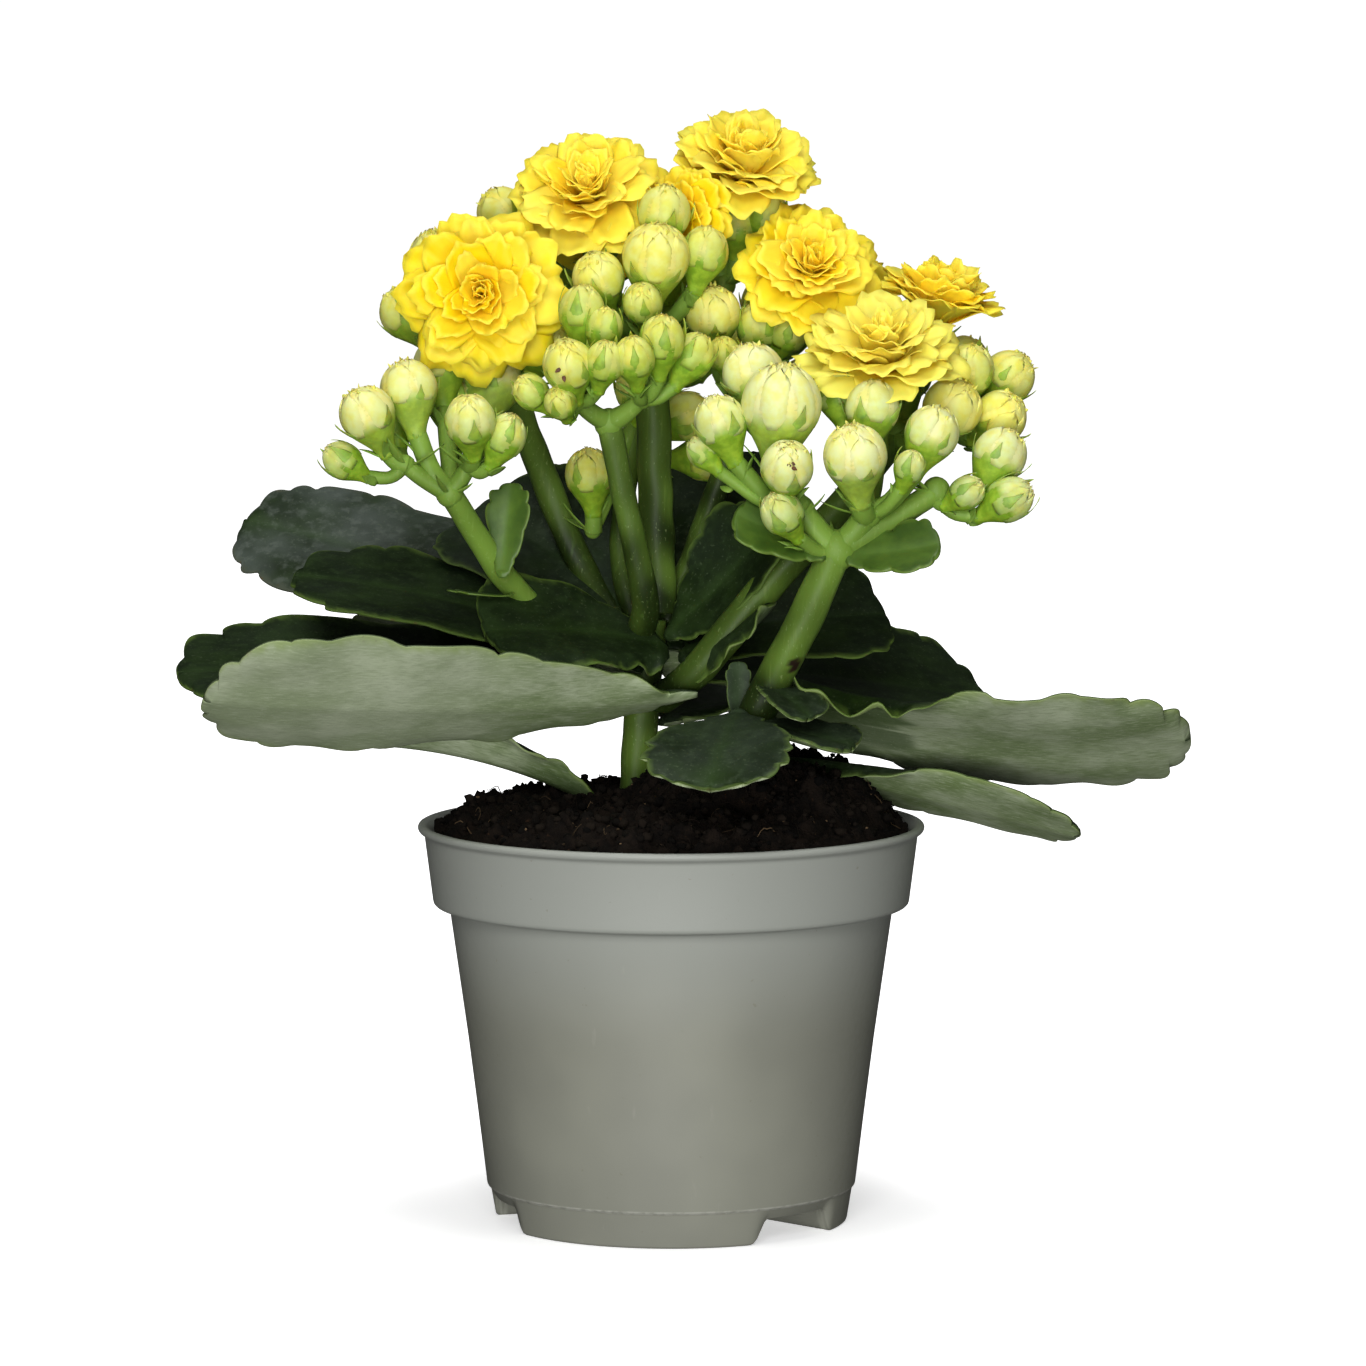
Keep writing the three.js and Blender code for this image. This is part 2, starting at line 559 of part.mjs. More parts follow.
// The leaf as a curved sheet: where a point `along` and `across` it lies, `lift` above the sheet's middle.
function leafSheet(leaf) {
  const { heading, pitch, bend = 0, roll = 0, twist = 0, fold = 20, curl = 20 } = leaf;
  const steps = 24;
  const spine = [vec(leaf.foot)];
  const frame = (t) => {
    const yaw = radians(heading + bend * t);
    const climb = radians(mix(pitch[0], pitch[1], t));
    const level = Math.cos(climb);
    const along = new THREE.Vector3(level * Math.cos(yaw), level * Math.sin(yaw), Math.sin(climb));
    const side = new THREE.Vector3(-Math.sin(yaw), Math.cos(yaw), 0).applyAxisAngle(along, radians(roll + twist * t));
    return { along, side, up: along.clone().cross(side) };
  };
  for (let i = 0; i < steps; i++) {
    spine.push(spine[i].clone().addScaledVector(frame((i + 0.5) / steps).along, leaf.length / steps));
  }
  return (along, across, lift) => {
    const t = THREE.MathUtils.clamp(along / leaf.length, 0, 1);
    const i = Math.min(Math.floor(t * steps), steps - 1);
    const { along: forward, side, up } = frame(t);
    const start = radians(fold) * Math.min(1, t * 4); // the stalk is hardly folded
    const k = radians(curl) / (leaf.width / 2);
    const reach = Math.abs(across);
    const lateral = (Math.sin(start + k * reach) - Math.sin(start)) / k;
    const rise = (Math.cos(start) - Math.cos(start + k * reach)) / k;
    const lean = start + k * reach;
    const sign = Math.sign(across);
    return spine[i].clone().lerp(spine[i + 1], t * steps - i)
      .addScaledVector(forward, along - t * leaf.length)
      .addScaledVector(side, sign * (lateral - lift * Math.sin(lean) * Math.abs(sign)))
      .addScaledVector(up, rise + lift * Math.cos(lean));
  };
}

// Triangles between two rows of points that run the same way, each point with its share of the way along.
function zip(rowA, rowB) {
  const triangles = [];
  let a = 0;
  let b = 0;
  while (a + 1 < rowA.length || b + 1 < rowB.length) {
    const stepA = b + 1 >= rowB.length || (a + 1 < rowA.length && rowA[a + 1].share <= rowB[b + 1].share);
    if (stepA) {
      triangles.push([rowA[a].index, rowA[a + 1].index, rowB[b].index]);
      a += 1;
    } else {
      triangles.push([rowA[a].index, rowB[b + 1].index, rowB[b].index]);
      b += 1;
    }
  }
  return triangles;
}

function leafSolid(leaf, grow = 0) {
  const outline = leafOutline(leaf, grow);
  const sheet = leafSheet(leaf);
  const top = [];
  const bottom = [];
  const put = (along, across, thickness) => {
    top.push(sheet(along, across, thickness / 2 + grow));
    bottom.push(sheet(along, across, -thickness / 2 - grow));
    return top.length - 1;
  };
  const last = outline.length - 1;
  const row = (side, share, thickness, step) => outline
    .map(([along, half], i) => ({ along, half, i }))
    .filter(({ i }) => i === 0 || (i < last && i % step === 0))
    .map(({ along, half, i }) => {
      const drawnIn = mix(leaf.length * 0.5, along, mix(0.9, 1, share));
      return { share: i / last, index: put(drawnIn, side * half * share, thickness) };
    });
  const tip = { share: 1, index: put(outline[last][0], 0, LEAF.edgeThickness) };
  const rib = [...row(1, 0, LEAF.ribThickness, LEAF.skinStep)];
  const halves = [1, -1].map((side) => ({
    side,
    edge: [...row(side, 1, LEAF.edgeThickness, 1), tip],
    middle: row(side, 0.55, mix(LEAF.edgeThickness, LEAF.ribThickness, 0.6), LEAF.skinStep),
  }));
  const face = halves.flatMap(({ side, edge, middle }) => {
    const strips = [...zip(edge, middle), ...zip(middle, rib)];
    const crown = [edge[edge.length - 1].index, rib[rib.length - 1].index, middle[middle.length - 1].index];
    const all = [...strips, crown];
    return side > 0 ? all : all.map(([a, b, c]) => [a, c, b]);
  });
  const n = top.length;
  const ring = [...halves[0].edge.map((p) => p.index), ...halves[1].edge.slice(0, -1).reverse().map((p) => p.index)];
  const foot = [halves[1].middle[0].index, rib[0].index, halves[0].middle[0].index];
  const border = [...ring, ...foot];
  const wall = border.flatMap((a, i) => {
    const b = border[(i + 1) % border.length];
    return [[a, b + n, b], [a, a + n, b + n]];
  });
  const triangles = [...face, ...face.map(([a, b, c]) => [a + n, c + n, b + n]), ...wall];
  const points = [...top, ...bottom];
  const solid = solidOf(geometryOf(points, triangles));
  return solid.volume() < 0 ? solidOf(geometryOf(points, triangles.map(([a, b, c]) => [a, c, b]))) : solid;
}

// ---------------------------------------------------------------- flower heads

// A ring of points round a centre, across an axis. Every second point has the `odd` radius.
function ringAt(centre, axis, even, odd, sides) {
  const up = axis.clone().normalize();
  const across = new THREE.Vector3(0.3, 1, 0.2).projectOnPlane(up).normalize();
  const third = up.clone().cross(across);
  return Array.from({ length: sides }, (_, side) => {
    const angle = (2 * Math.PI * side) / sides;
    const reach = side % 2 ? odd : even;
    return centre.clone()
      .addScaledVector(across, reach * Math.cos(angle))
      .addScaledVector(third, reach * Math.sin(angle));
  });
}

// A bud on its twig: a globe of folded petals in a cup of pointed sepals, which narrows to the twig like a funnel.
function budSolid(fork, [x, y, z, radius], grow) {
  const centre = new THREE.Vector3(x, y, z);
  const axis = centre.clone().sub(fork).normalize().add(new THREE.Vector3(0, 0, 0.7)).normalize();
  const neck = centre.clone().addScaledVector(axis, -1.4 * radius);
  const start = neck.clone().sub(fork).normalize();
  const twig = Math.max(1.1, radius * 0.34) + grow;
  const ring = (height, even, odd) => {
    const middle = centre.clone().addScaledVector(axis, height * radius);
    return ringAt(middle, axis, even * radius + grow, odd * radius + grow, BUD_SIDES);
  };
  const rings = [
    ringAt(fork, start, twig, twig, BUD_SIDES),
    ringAt(neck, start.add(axis), twig, twig, BUD_SIDES),
    ring(-0.2, 1.1, 0.98),
    ring(0.6, 0.8, 0.72),
  ];
  const end = centre.clone().addScaledVector(axis, 0.98 * radius + grow);
  return solidOf(skin(rings, fork.clone().addScaledVector(start.normalize(), -0.4), end));
}

// The twig that carries a flower. It stops just short of the flower's back.
function twigSolid(fork, { centre, facing }, grow) {
  const end = vec(centre).addScaledVector(vec(facing).normalize(), -1.4);
  return bar([fork, end.toArray()], [BLOOM_TWIG, BLOOM_TWIG], TWIG_SIDES, grow, 1);
}

function cymeSolid(cyme, grow = 0) {
  const { name, stalk, forks, buds, bracts = [] } = cyme;
  const root = vec(forks[0]);
  const pieces = [bar(stalk.path, stalk.radii, STEM_SIDES, grow)];
  const width = stalk.radii[stalk.radii.length - 1];
  forks.slice(1).forEach((fork) => {
    pieces.push(bar([root.toArray(), fork], [width * 0.9, width * 0.75], STEM_SIDES, grow, 1));
  });
  buds.forEach((bud) => pieces.push(budSolid(vec(forks[bud[4]]), bud, grow)));
  const flowers = BLOOMS.filter(({ on }) => on[0] === name);
  flowers.forEach((bloom) => pieces.push(twigSolid(forks[bloom.on[1]], bloom, grow)));
  bracts.forEach((bract) => pieces.push(leafSolid({ fold: 10, curl: 24, ...bract }, grow)));
  return union(pieces);
}

// A petal: a thin cupped blade that ends in a point between two shoulders.
function petalSolid({ angle, length, width, climb, lift }) {
  const point = (share, across, height) => {
    const bendHalf = radians(mix(climb[0], climb[1], share / 2));
    const reach = 1.2 + length * share * Math.cos(bendHalf);
    const rise = lift + length * share * Math.sin(bendHalf) + 0.12 * Math.abs(across) + height;
    return new THREE.Vector3(reach, across, rise).applyAxisAngle(new THREE.Vector3(0, 0, 1), angle);
  };
  const plan = [
    [0, 0.2], [0, -0.2], [0.7, -1], [1, 0], [0.7, 1], [0.6, 0],
  ].map(([share, side]) => [share, (side * width) / 2]);
  const n = plan.length;
  const sides = n - 1;
  const edges = Array.from({ length: sides }, (_, i) => [i, (i + 1) % sides]);
  const face = edges.map(([a, b]) => [a, b, sides]);
  const points = [PETAL_THICKNESS / 2, -PETAL_THICKNESS / 2].flatMap((h) => plan.map(([s, a]) => point(s, a, h)));
  const wall = edges.flatMap(([a, b]) => [[a, b + n, a + n], [a, b, b + n]]);
  const over = face.map(([a, b, c]) => [a, c, b]);
  const under = face.map(([a, b, c]) => [a + n, b + n, c + n]);
  const triangles = [...over, ...under, ...wall];
  const solid = solidOf(geometryOf(points, triangles));
  return solid.volume() < 0 ? solidOf(geometryOf(points, triangles.map(([a, b, c]) => [a, c, b]))) : solid;
}

// A double flower, looking along +Z with the middle of its back at the origin.
function bloomSolid({ radius, cup }) {
  const petals = WHORLS.flatMap(({ petals: count, reach, width, climb, turn }, whorl) =>
    Array.from({ length: count }, (_, i) =>
      petalSolid({
        angle: (2 * Math.PI * (i + turn)) / count,
        length: radius * reach - 1.2,
        width: radius * width,
        climb: climb.map((degrees) => Math.min(degrees + cup, 84)),
        lift: 1.2 + whorl * 0.9,
      })));
  const up = new THREE.Vector3(0, 0, 1);
  const heart = [[0.2, 0.24], [0.45 * radius, 0.28]].map(([height, share]) =>
    ringAt(up.clone().multiplyScalar(height), up, share * radius, share * radius, BUD_SIDES));
  const core = solidOf(skin(heart, new THREE.Vector3(0, 0, 0), up.multiplyScalar(0.52 * radius)));
  return union([core, ...petals]);
}

// ---------------------------------------------------------------- the object

const kalanchoe = new THREE.Group();

const trunk = (grow = 0) => bar(TRUNK.path, TRUNK.radii, STEM_SIDES, grow);
const sideStem = (grow = 0) => bar(SIDE_STEM.path, SIDE_STEM.radii, STEM_SIDES, grow);
const stems = union([trunk(GAP), sideStem(GAP)]);
const stalks = union(CYMES.map((cyme) => bar(cyme.stalk.path, cyme.stalk.radii, STEM_SIDES, GAP)));
const rooted = LEAVES.filter((leaf) => leaf.rooted).map((leaf) => leafSolid(leaf, 2 * GAP));

kalanchoe.add(meshOf("pot", pot(), "pot"));
kalanchoe.add(meshOf("soil", soil([stems, ...rooted]), "soil"));
kalanchoe.add(meshOf("main_stem", trunk(), "stem"));
kalanchoe.add(meshOf("side_stem", sideStem(), "stem"));

CYMES.forEach((cyme, i) => {
  const earlier = CYMES.slice(0, i).map((other) => bar(other.stalk.path, other.stalk.radii, STEM_SIDES, GAP));
  kalanchoe.add(meshOf(cyme.name, cymeSolid(cyme).subtract(union([stems, ...earlier])), "cyme"));
});

LEAVES.forEach((leaf) => {
  kalanchoe.add(meshOf(leaf.name, leafSolid(leaf).subtract(stems).subtract(stalks), "leaf"));
});

BLOOMS.forEach((bloom) => {
  const mesh = meshOf(bloom.name, bloomSolid(bloom), "bloom");
  mesh.position.set(...bloom.centre);
  mesh.quaternion.setFromUnitVectors(new THREE.Vector3(0, 0, 1), vec(bloom.facing).normalize());
  kalanchoe.add(mesh);
});

export default kalanchoe;
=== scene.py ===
"""A double-flowered kalanchoe in a plastic nursery pot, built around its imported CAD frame.

Sizes are in millimetres, as in the part's source, and turn into metres where a mesh is made. Only the lamps, the
dome and the distances in the pot's and the floor's finish are given in metres. Headings, pitches, rolls, folds and
curls are in degrees. The pot's axis is the Z axis, its feet stand on Z = 0 and the plant's front faces -Y.
"""

import math

import bpy
import numpy as np
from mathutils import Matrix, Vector


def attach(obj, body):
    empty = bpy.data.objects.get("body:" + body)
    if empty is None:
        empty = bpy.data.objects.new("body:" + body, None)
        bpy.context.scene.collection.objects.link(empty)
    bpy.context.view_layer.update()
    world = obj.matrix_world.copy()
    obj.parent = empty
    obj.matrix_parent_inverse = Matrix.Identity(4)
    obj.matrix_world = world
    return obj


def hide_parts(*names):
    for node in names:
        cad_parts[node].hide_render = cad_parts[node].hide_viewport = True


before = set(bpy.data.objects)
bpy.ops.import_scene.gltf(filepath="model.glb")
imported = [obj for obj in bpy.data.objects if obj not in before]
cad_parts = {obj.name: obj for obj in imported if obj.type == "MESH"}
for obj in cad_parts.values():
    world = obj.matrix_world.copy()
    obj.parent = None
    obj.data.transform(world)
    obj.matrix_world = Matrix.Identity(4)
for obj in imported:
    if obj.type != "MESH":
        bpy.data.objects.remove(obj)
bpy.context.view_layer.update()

MM = 0.001
MARKS = ("a", "b", "c", "d", "e")  # names of the numbers that a piece holds at each point, for its materials
TURN = 6.28  # a full turn, as near as a random draw needs

# ---- driving dimensions, as in the part's source

POT = {
    "height": 71.0,
    "lip_radius": 45.0,
    "lip_height": 1.2,
    "collar_top_radius": 43.8,
    "collar_foot_radius": 42.3,
    "collar_foot": 56.6,
    "wall_top_radius": 39.4,
    "wall_foot_radius": 32.8,
    "band_top": 6.2,
    "band_radius": 32.3,
    "foot_radius": 31.3,
    "thickness": 1.3,
    "channel_height": 4.4,
    "channel_width": 16.5,
    "channel_start": 12.0,
    "channel_angles": (-44.5, 75.5, 195.5),
    "wall_between": [(34.45, 20), (36.1, 33), (37.8, 45)],  # radius and height on the wall, which bows a little
    "foot_slope": 1.2,
}

SOIL = {
    "edge": 68.0,
    "crown": 81.3,
    "crown_at": (14.5, 1.5),
    "crown_spread": 22.5,
    "shoulder": 74.5,
    "shoulder_radius": 41.0,
}

LEAF = {
    "stalk_half_width": 2.1,
    "edge_thickness": 0.9,
    "rib_thickness": 2.0,
    "lobe_depth": 1.9,
    "lobe_start": 44.0,
    "lobe_drift": 0.2,
    "obovate": 0.4,
    "broadest": 1.07,
    "blunt": 0.8,
    "stalk": 0.06,
    "small": 22.0,  # leaves shorter than this have shallow lobes
    "wave": 0.55,
    "wave_length": 26.0,
    "frill": 0.35,
    "groove": (0.28, 1.3),  # depth and half-width, along the midrib above
    "keel": (0.15, 2.2),  # the same for the ridge below
}

BUD = {
    "young": (4.9, 1.3),  # radius below which a bud turns green and pointed, and how gradually
    "young_swell": 0.08,
    "young_stretch": 0.16,
    "neck_from": 1.8,  # angle from its top at which a bud draws in towards its twig
    "neck_length": 1.75,  # against the bud's radius
    "twig": 0.34,  # against the bud's radius
    "least_twig": 1.1,
    "large": 5.5,  # buds above this radius have 7 outer petals, the others 5
}

TRUNK = {
    "path": [(-6.5, 2, 60), (-6.3, 2, 78), (-5, 2, 93), (-4.2, 2, 107)],
    "radii": [2.8, 2.8, 3.1, 3.3],
}
SIDE_STEM = {
    "path": [(11, -9, 60), (12, -13.5, 76), (13.6, -19, 88.5)],
    "radii": [2.8, 2.8, 3.2],
}

HABIT = dict(fold=8, curl=20, roll=0, deep=1, sharp=False, hems=(), grey=0.3, shade=1, shaded=(0.1, 0.55))

# Each leaf: where its foot is, its heading and pitches, and where it differs from the habit above. `base` is the
# stalk's half-width. A hem rolls one margin: (side, start and end along the leaf, depth). `grey` is how much grey
# painted sheen the upper side shows; on the underside a low `grey` paints shade and a high one a paler tone. `shade`
# is how much of `grey` is left over its `shaded` part, towards the foot.
LEAVES = [
    dict(name="leaf_front_left", foot=(4.5, -13, 95.2), heading=192.2, length=87.2, width=41, pitch=(-3.1, 5.1),
         fold=3, curl=7.5, roll=33.9, lobes=7, deep=1.3, grey=0.75, shade=0.4),
    dict(name="leaf_left", foot=(-5, -1, 98), heading=176, length=64.7, width=38.9, pitch=(24.4, 4.4), fold=2,
         curl=10.6, roll=-13.3, lobes=5, deep=2, grey=0.1),
    dict(name="leaf_left_back", foot=(-7, 10, 105.5), heading=160, length=77.2, width=30.7, pitch=(12.9, 11.4),
         fold=4, curl=-9, roll=-34.1, lobes=7, deep=1.6, grey=1),
    dict(name="leaf_left_dark", foot=(-6, 7.7, 94.65), heading=188.7, length=82.2, width=45.6, pitch=(5.4, -1.3),
         fold=4, curl=6.2, roll=-14.1, lobes=5, deep=2, grey=0.1),
    dict(name="leaf_front", foot=(-0.8, -5.8, 102.25), heading=200, length=34, width=31, pitch=(16, -3), fold=4,
         curl=26, roll=-26, lobes=5, base=6, deep=0.5, hems=((1, 0.05, 0.95, 1.6),), grey=0.1),
    dict(name="leaf_front_right", foot=(-1, -1.5, 104), heading=-8, length=29, width=25, pitch=(38, 56), fold=12,
         curl=24, roll=44, lobes=5, deep=1.4, grey=0.1),
    dict(name="leaf_front_bowl", foot=(1.4, -6.4, 101), heading=-6, length=20, width=24, pitch=(14, 52), fold=8,
         curl=40, roll=12, lobes=4, base=5, deep=1.5, hems=((-1, 0.05, 0.9, 3.4),), grey=0.1),
    dict(name="leaf_dark_back", foot=(-6, 6, 106), heading=139, length=43, width=35, pitch=(32, 18), roll=-30,
         lobes=6),
    dict(name="leaf_front_low", foot=(12, -22.5, 93), heading=258, length=28, width=27, pitch=(-10, -34), fold=4,
         curl=14, lobes=6, deep=1.5, sharp=1),
    dict(name="leaf_front_low_right", foot=(13.2, -21, 92), heading=-28, length=21, width=17, pitch=(-16, -8),
         roll=6, lobes=5),
    dict(name="leaf_right", foot=(16, -9, 95.2), heading=-4, length=76.1, width=42.5, pitch=(-17.5, 7),
         fold=-7.4, curl=15.2, roll=-28.3, lobes=7, deep=1.5, base=15, grey=0.5, shade=0, shaded=(0.26, 0.46),
         hems=((-1, 0.06, 0.42, 4.5),)),
    dict(name="leaf_right_low", foot=(14.1, 3.8, 82), heading=-13.7, length=60.8, width=23.9, pitch=(-7.8, -14),
         fold=1.4, curl=5.3, roll=-27.1, lobes=6, deep=1.6, grey=0.4, shade=0.3, hems=((-1, 0.1, 0.5, 3),)),
    dict(name="leaf_back_upper", foot=(-0.5, 6.5, 105), heading=58, length=42, width=30, pitch=(56, 34),
         lobes=4),
    dict(name="leaf_right_back", foot=(0, 6, 97), heading=20, length=62, width=42, pitch=(-2, -12), fold=6,
         curl=14, roll=20, lobes=7, grey=0.1),
    dict(name="leaf_right_upper", foot=(-1, 4, 102), heading=14, length=41, width=34, pitch=(12, 0), roll=30,
         lobes=6, grey=0.1),
    dict(name="leaf_left_low", foot=(-10, 7.6, 72.2), heading=190.7, length=52.3, width=24, pitch=(30.5, 0.3),
         fold=31.4, curl=22.9, lobes=6, roll=13, grey=0.3, shade=0, hems=((1, 0.3, 0.95, 3),)),
    dict(name="leaf_back_left", foot=(-7, 6, 97.8), heading=133, length=64, width=41, pitch=(6, -8), fold=16,
         curl=16, lobes=5),
    dict(name="leaf_back", foot=(-4.5, 7, 99), heading=94, length=70, width=45.4, pitch=(16.4, -6), fold=14,
         curl=16, lobes=5),
    dict(name="leaf_back_right", foot=(-2, 7, 88), heading=60, length=72, width=44, pitch=(4, -6), fold=16,
         curl=18, lobes=5),
]

# Each cyme: a stalk that ends in fork 0, the side forks from 1 on, and buds as (x, y, z, radius, fork). `pale` is how
# creamy the buds are, and `tone` how pale the stalk is at its foot and its end, from about 0 to 1; the darker foot is
# partly painted shade, where the stalk runs down among the leaves. `withered` gives spots of dried petal tips and how
# many, and `scars` gives brown marks on the stalk as (x, y, z, size).
CYMES = [
    dict(name="cyme_left", pale=0.7, tone=(0.2, 0.85),
         path=[(-8, 3, 101), (-19, -1, 106), (-28.5, -8, 114.5), (-38.5, -19, 131)],
         radii=[2.1, 2.1, 2.2, 2.0], forks=[(-46, -21, 136), (-35, -20, 136)],
         buds=[(-52.5, -24, 145, 4.8, 1), (-45.5, -18, 149, 5.0, 0), (-40.5, -7.5, 152.4, 4.6, 0),
               (-34.6, -27, 144, 4.2, 2), (-28.8, -24, 141, 3.4, 2), (-56.7, -23, 136.8, 3.0, 1),
               (-31, -7, 149.4, 5.0, 2), (-49, -10, 143, 4.2, 1), (-38.5, -4, 146, 4.2, 0)],
         bracts=[dict(foot=(-29.5, -14.5, 115.8), heading=70, length=17, width=9, pitch=(72, 76), lobes=3),
                 dict(foot=(-27.5, -10.5, 112.6), heading=190, length=12, width=4.5, pitch=(-4, 14), lobes=2)]),
    dict(name="cyme_upper_left", path=[(-8, 5, 103), (-16, 16, 115), (-23.5, 17, 133), (-29, 4, 150)],
         radii=[2.6, 2.6, 2.6, 2.3], forks=[(-37, 5, 157)],
         buds=[(-41, 3, 170.5, 5.4, 1), (-22, -7.5, 156, 4.4, 0), (-47, 8, 161, 4.6, 1), (-33, 15, 164, 4.8, 1),
               (-24, 14, 159, 4.2, 0)]),
    dict(name="cyme_front", withered=[((-18, -32.4, 152.8), 2)],
         path=[(-5.5, -2.5, 104), (-4.6, -9, 112), (-7.6, -13.5, 127), (-10.8, -17, 143)],
         radii=[2.5, 2.4, 2.2, 2.1], forks=[(-16.5, -21, 147.5), (-5, -20, 147.5)],
         buds=[(-15.4, -19, 162.4, 3.8, 1), (-11.6, -21.5, 159.6, 3.0, 1), (-17.6, -28, 153.6, 4.3, 1),
               (-11.4, -29, 154.2, 3.2, 1), (-6.3, -28.5, 154.8, 3.3, 2), (-1.6, -24.5, 157.6, 3.7, 2),
               (-24, -24.5, 148.8, 2.8, 1), (-19, -28, 147.2, 2.6, 1), (3.6, -19, 154.6, 3.5, 2)]),
    dict(name="cyme_top", path=[(-2.4, 2.2, 108), (-2.4, 3, 118), (-3, 3.5, 135), (-3.3, 3, 150)],
         radii=[3.2, 3.1, 3.0, 2.9], forks=[(-5, -4, 159), (9, 8, 166), (-12, 4, 166)],
         buds=[(-2.6, -13.5, 171.8, 5.9, 1), (-12.6, -13, 168, 4.4, 1), (-4.9, -17, 163.8, 3.2, 1),
               (5.8, -9, 172.2, 4.0, 1), (-1.2, -9.5, 179.2, 4.5, 1), (17, 5.5, 178.2, 3.3, 2),
               (11.8, 7, 176.4, 3.5, 2), (-29.6, 7, 178.5, 4.6, 3)]),
    dict(name="cyme_mid_right", path=[(-1, 4.5, 106), (4, 8, 118), (9, 10, 132), (13, 6, 146)],
         radii=[2.2, 2.2, 2.0, 1.8], forks=[(17, 2, 154)],
         buds=[(7.3, -5, 161.5, 4.9, 0), (15.4, -3, 159, 3.7, 1), (9.3, -11.5, 154.6, 2.7, 0),
               (20.5, -4, 158, 3.2, 1), (27, 8, 163, 3.8, 1)]),
    dict(name="cyme_right", pale=1, tone=(-0.3, 0.75), withered=[((20.2, -39.5, 137.2), 7)],
         scars=[(21.3, -24.5, 101.7, 1.6), (15, -21.6, 90.2, 1.9)],
         path=[(13.4, -19, 89.3), (17.5, -21.5, 98), (23, -24, 109), (28.6, -25.5, 121.5)],
         radii=[3.2, 3.1, 3.0, 2.9], forks=[(22.5, -26, 128.5), (34, -26, 128), (46, -22, 131.5)],
         buds=[(14.3, -20, 151.6, 5.4, 1), (19, -29, 147, 6.9, 1), (8.6, -29, 143.8, 4.4, 1),
               (5.6, -27.5, 138.6, 2.5, 1), (19.9, -35, 136.6, 4.4, 1), (31.6, -33.5, 138.4, 5.5, 2),
               (34.8, -24.5, 146, 4.6, 2), (45, -27, 141.8, 4.6, 2), (29.2, -18, 147.8, 3.6, 2),
               (41, -31, 136.2, 2.5, 2), (57, -20, 137.6, 4.6, 3), (58.4, -24, 130.2, 3.6, 3),
               (51, -25, 131.4, 2.7, 3), (19.2, -33, 128.5, 3.4, 0)],
         bracts=[dict(foot=(27.5, -27, 121), heading=184, length=18, width=14, pitch=(20, 25), lobes=3, roll=-50),
                 dict(foot=(30, -27, 120.6), heading=-12, length=17, width=13, pitch=(2, 14), lobes=3, roll=45),
                 dict(foot=(16, -22, 97.6), heading=-50, length=13, width=13, pitch=(-10, -34), lobes=3,
                      leaf=True),
                 dict(foot=(12, -20, 89.6), heading=100, length=12, width=5, pitch=(78, 84), lobes=2, deep=0.8,
                      leaf=True)]),
    dict(name="cyme_far_right", path=[(-2, -2.5, 93), (5, -10, 99.5), (17, -10, 114), (30, -8, 128), (40, -3, 140)],
         radii=[2.8, 2.9, 2.9, 2.7, 2.2], forks=[(50, -1, 145)],
         buds=[(52.2, -8, 151.6, 4.2, 1), (59.3, -1, 150, 4.6, 1), (49, -14.5, 145.6, 5.2, 0),
               (57.5, -10, 143.6, 4.6, 1), (52, 10, 152, 4.4, 1), (42, 9, 150, 4.2, 0)]),
    dict(name="cyme_back", path=[(-6, 6, 105), (-9, 12, 117), (-8, 17, 130), (-6, 20, 142)],
         radii=[2.2, 2.0, 1.9, 1.8], forks=[(-14, 13, 122), (0, 24, 150)],
         buds=[(-14.5, 11, 132, 4.2, 1), (-6, 16, 147, 3.8, 0), (2.5, 18, 142, 4.2, 0), (6, 20, 134.5, 4.0, 0),
               (-14, 28, 154, 4.4, 2), (-2, 32, 152, 4.4, 2), (8, 29, 155, 4.6, 2), (-20, 24, 160, 4.2, 2),
               (0, 20, 170, 4.6, 2)],
         bracts=[dict(foot=(-3, 4, 98), heading=172, length=15, width=10, pitch=(-4, 6), lobes=3, roll=80,
                      leaf=True),
                 dict(foot=(-4, 4.5, 98.5), heading=4, length=11, width=9, pitch=(4, 10), lobes=3, roll=-80,
                      leaf=True)]),
    dict(name="cyme_back_right", path=[(-0.5, 6, 104), (8, 15, 115), (18, 21, 130), (24, 22, 144)],
         radii=[2.4, 2.3, 2.2, 2.0], forks=[(31, 22, 150)],
         buds=[(16, 28, 150, 4.6, 0), (33, 31, 152, 4.8, 1), (40, 22, 154, 4.6, 1), (24, 33, 147, 4.2, 0),
               (17, 20, 162, 4.4, 0), (37, 15, 158, 4.2, 1)]),
]

